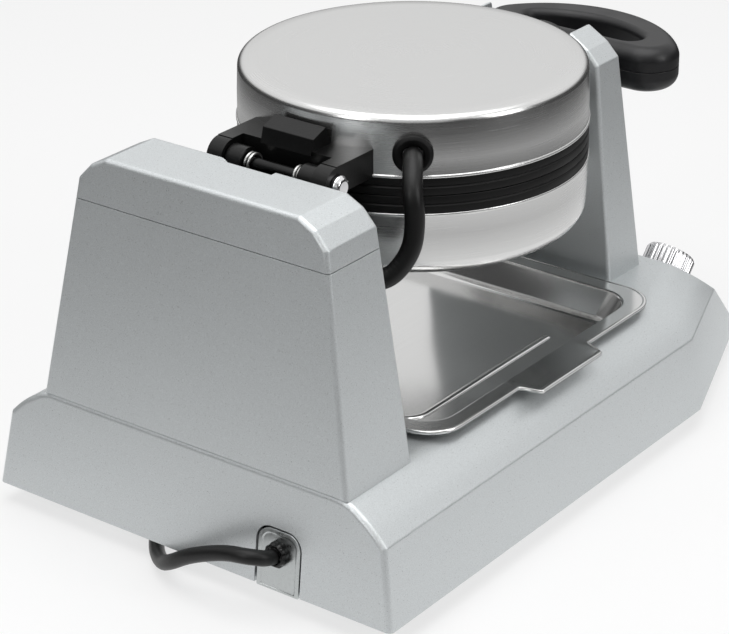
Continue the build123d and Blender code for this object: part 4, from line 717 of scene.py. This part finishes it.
def grid_mesh(name, points, finish, wrap_u=False, wrap_v=False, flip=False):
    """Mesh from points[u, v]; wrap joins the last row or column to the first."""
    count_u, count_v = points.shape[:2]
    u = np.arange(count_u if wrap_u else count_u - 1)
    v = np.arange(count_v if wrap_v else count_v - 1)
    u, v = [side.ravel() for side in np.meshgrid(u, v, indexing="ij")]
    next_u = (u + 1) % count_u
    next_v = (v + 1) % count_v
    faces = np.stack(
        [u * count_v + v, next_u * count_v + v, next_u * count_v + next_v, u * count_v + next_v],
        axis=1,
    )
    if flip:
        faces = faces[:, ::-1]
    mesh = bpy.data.meshes.new(name)
    mesh.from_pydata(points.reshape(-1, 3).tolist(), [], faces.tolist())
    shape = bmesh.new()
    shape.from_mesh(mesh)
    bmesh.ops.remove_doubles(shape, verts=shape.verts, dist=MERGE_DISTANCE / 10)
    return new_piece(name, mesh, shape, finish)


def unit(vector):
    """The vector at length 1."""
    return vector / np.linalg.norm(vector)


def rounded(corners, steps=8):
    """Profile through corners (x, y, radius), each round as an arc that touches both sides.

    The arc's middle lies on the corner's bisector, at radius / sin(half the inner angle).
    """
    line = []
    for place, (x, y, radius) in enumerate(corners):
        corner = np.array([x, y])
        if radius <= 0 or place in (0, len(corners) - 1):
            line.append(corner[None, :])
            continue
        before = unit(np.array(corners[place - 1][:2]) - corner)
        after = unit(np.array(corners[place + 1][:2]) - corner)
        half = np.arccos(np.clip(before @ after, -1, 1)) / 2
        middle = corner + unit(before + after) * radius / sin(half)
        first = corner + before * radius / np.tan(half) - middle
        last = corner + after * radius / np.tan(half) - middle
        start = atan2(first[1], first[0])
        sweep = (atan2(last[1], last[0]) - start + pi) % (2 * pi) - pi
        angles = start + sweep * np.linspace(0, 1, steps)
        line.append(middle + radius * np.stack([np.cos(angles), np.sin(angles)], axis=1))
    return np.concatenate(line)


def turned(name, profile, centre, axis, finish, segments, flip=False, flutes=(0, 0, 0, 1)):
    """Surface of revolution: radius and height of the profile, swung about an axis.

    Point(u, v) = centre + axis * height(v) + radius(u, v) * (cos u * side + sin u * other side).
    Flutes (count, depth, low, high) pull the radius in by depth * (1 + cos(count * u)) / 2,
    times a share that grows from 0 to 1 as the profile's radius goes from low to high.
    """
    axis = unit(np.array(axis, float))
    side = unit(np.cross([0, 0, 1.0] if abs(axis[2]) < 0.9 else [1.0, 0, 0], axis))
    other = np.cross(axis, side)
    angles = 2 * pi * np.arange(segments) / segments
    ring = np.cos(angles)[:, None] * side + np.sin(angles)[:, None] * other
    count, depth, low, high = flutes
    wave = depth * (0.5 + 0.5 * np.cos(count * angles))
    held = np.clip((profile[:, 0] - low) / (high - low), 0, 1)
    radius = profile[None, :, 0] - wave[:, None] * held[None, :]
    heights = profile[None, :, 1:2] * axis
    points = np.array(centre) + heights + radius[:, :, None] * ring[:, None, :]
    return grid_mesh(name, points, finish, wrap_u=True, flip=flip)


def tube_points(line, radius, sides):
    """Circles square to a line, as points[line, side], and the line's direction at each.

    Each circle's frame is the one before, with the part along the new direction taken away, so
    that the frames never twist.
    """
    way = np.gradient(line, axis=0)
    way = way / np.linalg.norm(way, axis=1)[:, None]
    side = np.cross(way[0], [0.3, 0.2, 1.0])
    frames = []
    for direction in way:
        side = unit(side - direction * (side @ direction))
        frames.append(side)
    first = np.array(frames)[:, None]
    second = np.cross(way, first[:, 0])[:, None]
    angles = 2 * pi * np.arange(sides) / sides
    ring = np.cos(angles)[None, :, None] * first + np.sin(angles)[None, :, None] * second
    return line[:, None] + ring * np.broadcast_to(radius, (len(line),))[:, None, None], way


def closed_tube(name, line, rings, finish):
    """Tube through rings of points, closed to the line's first and last points."""
    ends = [np.broadcast_to(point, (1, rings.shape[1], 3)) for point in (line[0], line[-1])]
    points = np.concatenate([ends[0], rings, ends[1]])
    return grid_mesh(name, points, finish, wrap_v=True, flip=True)


# %% [markdown]
# ## The round covers
#
# The covers are deep-drawn steel: a nearly flat top, a rounded shoulder, a wall with a little
# draft and a rolled rim over the heat ring. A cylinder with a bevel would give the rough shape.
# Turning the true profile gives the shoulder's bright line and the rim's thin glint as well.

# %% Covers and heat rings
COVER_RADIUS = 99.1 * MM
COVER_DRAFT = 0.8 * MM
COVER_BELLY = 240.0 * MM
COVER_BELLY_AT = 0.42  # share of the wall's height
RIM_RADIUS = 99.9 * MM
RIM_HEIGHT = 1.6 * MM
RING_RADIUS = 99.4 * MM
RING_HEIGHT = 10.1 * MM
RING_INSIDE = 89.5 * MM
RING_STEP = 4.0 * MM
RING_GAP = 0.2 * MM
RING_GROOVE = 0.8 * MM
SHEET = 1.2 * MM
CROWN = 0.5 * MM


def cover(node, way, shoulder, inner_shoulder):
    """Drawn cover: crowned top, shoulder, drafted wall, rolled rim, and the inside of each."""
    low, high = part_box(node)
    depth = high.z - low.z + RING_HEIGHT
    wall = COVER_RADIUS - COVER_DRAFT
    belly = RING_HEIGHT + (depth - RING_HEIGHT) * COVER_BELLY_AT
    corners = [
        (0, depth, 0),
        (wall * 0.9, depth - CROWN * 0.3, 60 * MM),
        (wall, depth - CROWN, shoulder),
        (COVER_RADIUS - 0.05 * MM, belly, COVER_BELLY),
        (COVER_RADIUS, RING_HEIGHT + RIM_HEIGHT, 0.4 * MM),
        (RIM_RADIUS, RING_HEIGHT + RIM_HEIGHT, 0.5 * MM),
        (RIM_RADIUS, RING_HEIGHT, 0.5 * MM),
        (COVER_RADIUS - SHEET, RING_HEIGHT, 0.3 * MM),
        (wall - SHEET, depth - SHEET - CROWN, inner_shoulder),
        (0, depth - SHEET - CROWN, 0),
    ]
    name, profile = node + ".drawn", rounded(corners)
    piece = turned(name, profile, HEAD_MIDDLE, (0, 0, way), "cover_steel", 192, flip=True)
    settle(piece, node)


def heat_ring(node, way):
    """Moulded ring: a flat band with a groove along its middle and rounded edges."""
    step = RING_GAP + RING_STEP
    middle = (RING_GAP + RING_HEIGHT) / 2
    corners = [
        (RING_INSIDE, step, 0),
        (RING_INSIDE + RING_STEP, step, 0.3 * MM),
        (RING_INSIDE + RING_STEP, RING_GAP, 0.3 * MM),
        (RING_RADIUS, RING_GAP, 0.5 * MM),
        (RING_RADIUS, middle - RING_GROOVE, 0.2 * MM),
        (RING_RADIUS - RING_GROOVE, middle, 0.2 * MM),
        (RING_RADIUS, middle + RING_GROOVE, 0.2 * MM),
        (RING_RADIUS, RING_HEIGHT, 0.2 * MM),
        (RING_INSIDE, RING_HEIGHT, 0.3 * MM),
        (RING_INSIDE, step, 0),
    ]
    name, profile = node + ".moulded", rounded(corners, steps=5)
    piece = turned(name, profile, HEAD_MIDDLE, (0, 0, way), "ring_plastic", 192)
    low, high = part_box(node)
    print(node, "height", round((high.z - low.z) / MM, 1), "mm")
    settle(piece, node)


cover("upper_cover", 1, 4.4 * MM, 3.4 * MM)
cover("lower_cover", -1, 10.0 * MM, 8.8 * MM)
heat_ring("upper_ring", 1)
heat_ring("lower_ring", -1)

# %% [markdown]
# ## The drip tray
#
# The tray is pressed from one bright sheet: floor, sloped walls, a narrow flange with its edge
# turned down, and a finger tab that is pushed a little lower than the rim. It could be cut from
# boxes, but its whole charm is in the continuous rounds that draw bright lines. So its section is
# carried round a rounded rectangle, and the tab is a bump in the outer part of that section.

# %% Tray
TRAY_HALF_WIDTH = 110.0 * MM
TRAY_BACK = 133.0 * MM
TRAY_FRONT = -92.0 * MM
TRAY_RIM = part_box("drip_tray")[1].z
TRAY_DEPTH = 18.0
TRAY_CORNER = 22.0 * MM
CORNER_SHRINK = 0.32  # loss of the corner's radius for each unit inward
TRAY_BEAD_RISE = 0.6 * MM
TAB_REACH = 12.0 * MM
TAB_OUTER = 29.8 * MM
TAB_ROOT = 35.4 * MM
TAB_MIDDLE = 21.3 * MM
TAB_DIP = 0.9 * MM
TAB_FADE = (1.5 * MM, 11.0 * MM)  # inward distances where the tab's bump is full and gone
TAB_SIDE = 25.0 * MM
TRAY_SECTION = rounded(
    # (inward from the outer edge, height from the flange, radius)
    [
        (110.0, -TRAY_DEPTH + 1e-6, 0),
        (19.5, -TRAY_DEPTH, 5.5),
        (11.6, 0.0, 2.2),
        (2.2, 0.15, 0.8),
        (1.6, 0.6, 0.6),
        (0.3, 0.4, 0.9),
        (0.3, -1.5, 0),
    ],
    steps=9,
) * MM


def rounded_rectangle(inward, side_steps, corner_steps):
    """Closed path round the tray for each inward distance, as points[path, inward, 2].

    Straights run between corner arcs; the corner's radius shrinks with the distance, down to a
    least radius, so that every path has the same number of points.
    """
    half_length = (TRAY_BACK - TRAY_FRONT) / 2
    radius = np.maximum(TRAY_CORNER - inward * CORNER_SHRINK, 0.2 * MM)
    radius = np.minimum(radius, TRAY_HALF_WIDTH - inward + 1e-9)
    a = np.maximum(TRAY_HALF_WIDTH - inward - radius, 0)
    b = np.maximum(half_length - inward - radius, 0)
    centres = [(1, 1), (-1, 1), (-1, -1), (1, -1)]
    rows = []

    def on_corner(number, angle):
        """Point of each path on the arc of a corner."""
        side_x, side_y = centres[number % 4]
        x = side_x * a + radius * cos(angle)
        return np.stack([x, side_y * b + radius * sin(angle)], 1)

    for number in range(4):
        start = number * pi / 2
        for angle in start + np.linspace(0, pi / 2, corner_steps):
            rows.append(on_corner(number, angle))
        first, last = rows[-1], on_corner(number + 1, start + pi / 2)
        for share in np.linspace(0, 1, side_steps + 1)[1:-1]:
            rows.append(first + (last - first) * share)
    path = np.array(rows)
    path[:, :, 1] += (TRAY_BACK + TRAY_FRONT) / 2
    return path


def tray():
    """Tray surface: the section's inward distance and height, carried round the path.

    On the tab's side, points near the outer edge move out and down by a smooth trapezoid of y.
    """
    inward = TRAY_SECTION[:, 0]
    flat = rounded_rectangle(inward, side_steps=140, corner_steps=14)
    height = np.broadcast_to(TRAY_RIM - TRAY_BEAD_RISE + TRAY_SECTION[:, 1], flat.shape[:2])
    x, y = flat[:, :, 0], flat[:, :, 1]
    across = np.clip((TAB_ROOT - np.abs(y - TAB_MIDDLE)) / (TAB_ROOT - TAB_OUTER), 0, 1)
    across = across * across * (3 - 2 * across)
    outer = np.clip((TAB_FADE[1] - inward) / (TAB_FADE[1] - TAB_FADE[0]), 0, 1)[None, :]
    here = (x < TAB_SIDE - TRAY_HALF_WIDTH) * across * outer
    points = np.stack([x - here * TAB_REACH, y, height - np.sqrt(here) * TAB_DIP], 2)
    piece = grid_mesh("drip_tray.pressed", points, "tray_steel", wrap_u=True, flip=True)
    thickness = piece.modifiers.new("sheet", "SOLIDIFY")
    thickness.thickness = 1.1 * MM
    thickness.offset = -1
    settle(piece, "drip_tray")


tray()

# %% [markdown]
# ### The bead in the tray's floor
#
# A raised bead stiffens the floor along three sides. It could be a step in the tray's section,
# but it doesn't follow the rim: it stops short of the front. So it is a flattened tube along a
# path of its own, half sunk into the floor.

# %% Bead
BEAD_HALF = 66.0 * MM
BEAD_BACK_Y = 97.0 * MM
BEAD_FRONT_Y = -39.0 * MM
BEAD_CORNER = 14.0 * MM
BEAD_HALF_WIDTH = 2.2 * MM
BEAD_HEIGHT = 1.2 * MM


def tray_bead():
    """Raised bead in the floor: a flattened tube along a U with rounded ends, half sunk."""
    corners = [
        (-BEAD_HALF, BEAD_FRONT_Y, 0),
        (-BEAD_HALF, BEAD_BACK_Y, BEAD_CORNER),
        (BEAD_HALF, BEAD_BACK_Y, BEAD_CORNER),
        (BEAD_HALF, BEAD_FRONT_Y, 0),
    ]
    flat = rounded(corners, steps=16)
    along = np.r_[0, np.cumsum(np.linalg.norm(np.diff(flat, axis=0), axis=1))]
    spaced = np.linspace(0, 1, 260) * along[-1]
    x, y = np.interp(spaced, along, flat[:, 0]), np.interp(spaced, along, flat[:, 1])
    line = np.stack([x, y, np.zeros_like(x)], axis=1)
    from_end = np.minimum(spaced, along[-1] - spaced)
    inner = np.clip(from_end / BEAD_HALF_WIDTH, 0.02, 1)
    radius = BEAD_HALF_WIDTH * np.sqrt(1 - (1 - inner) ** 2)
    rings, _ = tube_points(line, radius, 20)
    floor = TRAY_RIM - TRAY_BEAD_RISE - TRAY_DEPTH * MM
    rings[:, :, 2] = rings[:, :, 2] * BEAD_HEIGHT / BEAD_HALF_WIDTH + floor
    piece = grid_mesh("drip_tray.bead", rings, "tray_steel", wrap_v=True, flip=True)
    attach(piece, "tray")


tray_bead()

# %% [markdown]
# ## The control knob
#
# The photograph shows little more of the knob than its rim, and what one sees there is the
# straight knurl. A bump in the material would leave that rim smooth. So the knurl is cut into
# the form: the profile is turned, and its teeth pull the radius in by a wave of the angle.

# %% Knob
# (radius, height, round) in millimetres
KNOB_PROFILE = [
    (0, 1.3, 0), (15.2, 1.3, 0.3), (16.0, 2.2, 0.3), (16.0, 16.6, 0.4),
    (14.6, 18.6, 0.8), (13.2, 18.9, 0.4), (12.6, 18.3, 0.4), (0, 18.1, 0),
]
KNOB_TEETH = 32
# (count, depth, radius where they begin, radius where they are full)
KNOB_FLUTES = (KNOB_TEETH, 0.8 * MM, 14.6 * MM, 15.6 * MM)
PANEL_SLOPE = radians(43.0)
PANEL_NORMAL = np.array([0, -sin(PANEL_SLOPE), cos(PANEL_SLOPE)])
DIAL_FOOT = np.array([-61.4, -174.313, 49.207]) * MM


def knob():
    """Knob with a straight knurl round a dished top, twelve points to a tooth."""
    profile = rounded(KNOB_PROFILE, steps=5) * MM
    name, finish = "control_knob.knurled", "satin_chrome"
    piece = turned(
        name, profile, DIAL_FOOT, PANEL_NORMAL, finish, KNOB_TEETH * 12, flutes=KNOB_FLUTES
    )
    settle(piece, "control_knob")


knob()

# %% [markdown]
# ## Caps on the hinge pin
#
# Two bright caps close the ends of the hinge pin. Half a ball would stand out too far. A pressed
# cap is a short drum that closes in one large round, which five corners of a profile describe.

# %% Pin caps
CAP_DEPTH = 4.4
# (radius, height, round) in millimetres
CAP_PROFILE = [
    (0, 0, 0), (6.4, 0, 0.3), (6.6, CAP_DEPTH * 0.5, 1.5), (4.6, CAP_DEPTH, 2.4), (0, CAP_DEPTH, 0),
]


def pin_caps():
    """Domed caps: a short drum that closes in a round, turned about the pin's line."""
    low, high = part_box("pin_caps")
    y, z = (low.y + high.y) / 2, (low.z + high.z) / 2
    profile = rounded(CAP_PROFILE, steps=8) * MM
    left, right = (high.x - CAP_DEPTH * MM, y, z), (low.x + CAP_DEPTH * MM, y, z)
    settle(turned("pin_cap.left", profile, left, (1, 0, 0), "chrome", 48), "pin_caps")
    settle(turned("pin_cap.right", profile, right, (-1, 0, 0), "chrome", 48), "pin_caps")


pin_caps()

# %% [markdown]
# ## Springs on the hinge pin
#
# Two short springs of round wire sit on the pin, one against each lug. A ribbed sleeve would
# look alike from afar, but between real turns the dark pin shows through. So the wire follows
# a helix, whose formula gives all of its points at once.

# %% Springs
SPRING_WIRE = 1.7 * MM
SPRING_RADIUS = 5.3 * MM
SPRING_PITCH = 2.3 * MM
SPRING_TURNS = 1.75
SPRING_START = 18.7 * MM  # from the middle, just inside a lug


def springs():
    """Two short helices of round wire about the hinge pin, against its lugs.

    x runs at a steady pitch while y and z go round the pin's middle line.
    """
    low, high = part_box("hinge_springs")
    angles = np.linspace(0, 2 * pi * SPRING_TURNS, round(SPRING_TURNS * 36))
    x = SPRING_START - SPRING_WIRE / 2 - SPRING_PITCH * angles / (2 * pi)
    y = (low.y + high.y) / 2 + SPRING_RADIUS * np.cos(angles)
    z = (low.z + high.z) / 2 + SPRING_RADIUS * np.sin(angles)
    for side, label in ((-1, "right"), (1, "left")):
        line = np.stack([side * x, y, z], axis=1)
        rings, _ = tube_points(line, SPRING_WIRE / 2, 12)
        piece = closed_tube("hinge_spring." + label, line, rings, "plain_steel")
        settle(piece, "hinge_springs")


springs()

# %% [markdown]
# ## The lid's grommet
#
# The jumper lead leaves the lid through a thick rubber grommet. A plain ring would have the same
# round inside and outside. The real lip is fat outside and slopes like a funnel towards the
# lead, so it is a turned profile too.

# %% Grommet
# (radius, height, round) in millimetres
GROMMET_PROFILE = [
    (5.6, -1.2, 0), (5.6, 3.2, 0.5), (6.8, 3.7, 0.8),
    (9.0, 4.0, 1.4), (11.0, 2.6, 1.6), (11.0, -1.2, 0),
]
JUMPER_ANGLE = radians(36.0)
JUMPER_WAY = np.array([-sin(JUMPER_ANGLE), cos(JUMPER_ANGLE), 0.0])
JUMPER_FOOT = np.array([0, HEAD_Y, AXIS_Z + 24.3 * MM]) + JUMPER_WAY * COVER_RADIUS


def grommet():
    """Rubber grommet in the lid: a fat round lip round a funnel that holds the lead."""
    profile = rounded(GROMMET_PROFILE, steps=7) * MM
    piece = turned("jumper_grommet.lip", profile, JUMPER_FOOT, JUMPER_WAY, "rubber", 64, True)
    settle(piece, "jumper_grommet")


grommet()

# %% [markdown]
# ## Where the mains lead comes in
#
# A small arch of bright zinc sheet closes the opening in the rear wall. A flat plate would do
# for its outline, but the photograph shows a pressed border. So the arch is drawn again for each
# point of the border's section, a little further inward and at that point's height.

# %% Inlet plate
PLATE_FOOT = np.array([-63.0, 213.0, 12.0]) * MM
PLATE_LEAN = radians(6.2)
PLATE_SIDE = np.array([1.0, 0, 0])
PLATE_UP = np.array([0, -sin(PLATE_LEAN), cos(PLATE_LEAN)])
PLATE_OUT = np.array([0, cos(PLATE_LEAN), sin(PLATE_LEAN)])
PLATE_HALF = 14.0
PLATE_TOP = 34.0
PLATE_BOTTOM = -1.0
PLATE_CORNER = 8.5
PLATE_MIDDLE = (0.0, 21.0)
PLATE_BOTTOM_SHARE = 0.45  # of a step inward, for the bottom edge
PLATE_SECTION = rounded(
    # (inward from the arch, out of the rear wall, radius)
    [(0.0, -2.2, 0), (0.0, -0.2, 0.4), (2.4, -0.2, 0.3), (3.1, -0.7, 0.3), (4.0, -0.7, 0)],
    steps=5,
)


def inlet_plate():
    """Arch of sheet zinc: its outline drawn inward in steps, with a raised border."""
    loops = []
    for inward, out in PLATE_SECTION:
        half = PLATE_HALF - inward
        top = PLATE_TOP - inward
        bottom = PLATE_BOTTOM + PLATE_BOTTOM_SHARE * inward
        corner = PLATE_CORNER - inward
        right = [(half, bottom, 0.8), (half, top, corner)]
        left = [(-half, top, corner), (-half, bottom, 0.8)]
        outline = rounded([(0, bottom, 0), *right, *left, (0, bottom, 0)], steps=12)[:-1]
        loops.append(np.concatenate([outline, np.full((len(outline), 1), out)], axis=1))
    centre = np.broadcast_to([*PLATE_MIDDLE, PLATE_SECTION[-1, 1]], loops[0].shape)
    across, up, out = np.moveaxis(np.array(loops + [centre]) * MM, 2, 0)[..., None]
    points = PLATE_FOOT + across * PLATE_SIDE + up * PLATE_UP + out * PLATE_OUT
    piece = grid_mesh("cord_plate.pressed", points, "zinc_plate", wrap_v=True)
    settle(piece, "cord_plate")


inlet_plate()

# %% [markdown]
# ## The gland of the mains lead
#
# A black bush in the plate clamps the lead. A smooth ring would be simpler, but lobes show
# round it in the photograph. It is turned and fluted like the knob, with fewer, wider waves.

# %% Gland
# (radius, height, round) in millimetres
GLAND_PROFILE = [
    (0, -6.0, 0), (6.0, -6.0, 0.3), (6.0, -0.6, 0.2), (7.3, -0.6, 0.4), (7.3, 2.4, 1.2),
    (6.0, 4.4, 1.0), (4.9, 4.2, 0.4), (3.6, 3.0, 0.4), (0, 3.0, 0),
]
GLAND_LOBES = 8
GLAND_FLUTES = (GLAND_LOBES, 0.8 * MM, 5.8 * MM, 7.0 * MM)


def cord_gland():
    """Clamp bush in the plate: eight round lobes and a dished mouth where the lead comes out."""
    profile = rounded(GLAND_PROFILE, steps=5) * MM
    name, finish = "cord_gland.lobed", "gloss_black"
    foot = PLATE_FOOT + PLATE_MIDDLE[1] * MM * PLATE_UP
    piece = turned(name, profile, foot, PLATE_OUT, finish, GLAND_LOBES * 12, flutes=GLAND_FLUTES)
    settle(piece, "cord_gland")


cord_gland()

# %% [markdown]
# ## The leads
#
# A lead is a fixed length of something springy. The mains lead leaves its gland, bends to one
# side, drops to the table and runs under the base; the length that the photograph doesn't show
# lies in a neat coil on the machine's far side. A simulated rope would fall anew each time. One
# smooth spline through listed points and the coil's turns keeps the lead where it was seen.

# %% Mains lead
CORD_DIAMETER = 8.6 * MM
# The route, the coil and the plug's place are in millimetres.
CORD_ROUTE = [
    (-63.0, 215.36, 33.38), (-63.0, 220.6, 34.6), (-60.3, 225.4, 36.6), (-55.0, 228.6, 37.2),
    (-44.0, 229.4, 35.8), (-30.0, 229.4, 30.6), (-16.0, 229.2, 24.0), (-3.0, 227.5, 15.0),
    (10.0, 221.0, 6.6), (27.0, 207.0, 4.4), (48.5, 178.5, 4.4), (71.5, 147.0, 4.4),
    (95.0, 116.5, 4.4), (117.0, 86.5, 4.4), (140.5, 59.5, 4.4), (169.0, 42.0, 4.4),
]
COIL_CENTRE = (200.0, -10.0)
COIL_OUTER = 52.0
COIL_PITCH = 9.2
COIL_TURNS = 3.25
COIL_FLOOR = 4.4
COIL_POINTS_A_TURN = 16
PLUG_TAIL = 30.0
PLUG_RADIUS = 18.5


def coil_line():
    """Coil in two layers: in along the floor, up in half a turn, and out again on top."""
    reverse = COIL_TURNS / 2
    turn = np.linspace(0, COIL_TURNS, round(COIL_TURNS * COIL_POINTS_A_TURN) + 1)
    angle = pi / 2 - 2 * pi * turn
    radius = COIL_OUTER - COIL_PITCH * (reverse - np.abs(turn - reverse))
    climb = np.clip((turn - reverse) * 2 + 0.5, 0, 1)
    height = COIL_FLOOR + COIL_PITCH * (1 - np.cos(pi * climb)) / 2
    x = COIL_CENTRE[0] + radius * np.cos(angle)
    y = COIL_CENTRE[1] + radius * np.sin(angle)
    return np.stack([x, y, height], axis=1)


def line_through(name, points, steps):
    """Points along a smooth spline whose control points are the route's, and its length.

    The spline is a curve object without a section, read back as a mesh and then removed.
    """
    data = bpy.data.curves.new(name, "CURVE")
    data.dimensions = "3D"
    data.resolution_u = steps
    line = data.splines.new("NURBS")
    line.points.add(len(points) - 1)
    for target, point in zip(line.points, points):
        target.co = (*point, 1)
    line.order_u = 3
    line.use_endpoint_u = True
    guide = bpy.data.objects.new(name, data)
    scene.collection.objects.link(guide)
    bpy.context.view_layer.update()
    mesh = bpy.data.meshes.new_from_object(guide)
    places = np.array([vertex.co for vertex in mesh.vertices])
    bpy.data.meshes.remove(mesh)
    bpy.data.objects.remove(guide)
    bpy.data.curves.remove(data)
    length = float(np.linalg.norm(np.diff(places, axis=0), axis=1).sum())
    print(name, round(length, 3), "m")
    return places, length


def mains_lead():
    """The lead from its gland to its plug."""
    coil = coil_line()
    end = coil[-1]
    plug = np.array([end[0], end[1] - PLUG_TAIL, PLUG_RADIUS])
    ease = np.array([0, PLUG_TAIL * 0.3, -0.6])
    points = np.array([*CORD_ROUTE, *coil, end - ease, plug + ease, plug]) * MM
    line, length = line_through("mains_guide", points, 14)
    rings, _ = tube_points(line, CORD_DIAMETER / 2, 20)
    lead = closed_tube("mains_lead", line, rings, "cord_jacket")
    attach(lead, "base")
    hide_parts("mains_cord", "mains_coil")


mains_lead()

# %% [markdown]
# ## The jumper lead
#
# The lid has its own heating element, fed by a short thick lead that loops from the lid down to
# the head. It is one fixed tube: a circle carried along the route's spline, with faint wrinkles
# inside its lower bend.

# %% Jumper
JUMPER_DIAMETER = 10.9 * MM
JUMPER_ROUTE = [
    (-74.0, 108.0, 205.0), (-76.0, 107.5, 190.0), (-75.5, 110.5, 171.0), (-65.0, 121.5, 154.5),
]
JUMPER_SETBACK = 4.0 * MM
JUMPER_END = np.array([-35.5, 130.99, 160.4]) * MM
JUMPER_STRAIGHT = 7.0 * MM
JUMPER_LEAD_IN = 9.0 * MM
WRINKLE_CENTRE = 0.66
WRINKLE_SPREAD = 0.10
WRINKLE_COUNT = 46
WRINKLE_DEPTH = 0.045


def jumper():
    """Tube along the route's spline; its radius ripples where the bend squeezes it."""
    start = JUMPER_FOOT + JUMPER_WAY * JUMPER_SETBACK
    first = [start, start + JUMPER_WAY * JUMPER_STRAIGHT]
    last = [JUMPER_END - (JUMPER_LEAD_IN, 0, 0), JUMPER_END]
    route = [*first, *(np.array(JUMPER_ROUTE) * MM), *last]
    line, length = line_through("jumper_guide", route, 40)
    rings, way = tube_points(line, JUMPER_DIAMETER / 2, 40)
    share = np.linspace(0, 1, len(line))
    bend = np.gradient(way, axis=0)
    inward = bend / np.maximum(np.linalg.norm(bend, axis=1), 1e-9)[:, None]
    facing = np.einsum("lsk,lk->ls", (rings - line[:, None]) / (JUMPER_DIAMETER / 2), inward)
    envelope = np.exp(-(((share - WRINKLE_CENTRE) / WRINKLE_SPREAD) ** 2))
    fold = np.abs(np.sin(share * WRINKLE_COUNT * pi)) ** 0.6 - 1
    squeeze = envelope[:, None] * np.clip(facing, 0, 1) ** 1.5 * fold[:, None] * WRINKLE_DEPTH
    rings = line[:, None] + (rings - line[:, None]) * (1 + squeeze[:, :, None])
    lead = closed_tube("jumper_lead", line, rings, "cord_jacket")
    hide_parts("jumper_cord")
    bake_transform(lead)


jumper()

# %% [markdown]
# ## The last line
#
# The view layer is brought up to date once more.

# %% Finish
bpy.context.view_layer.update()
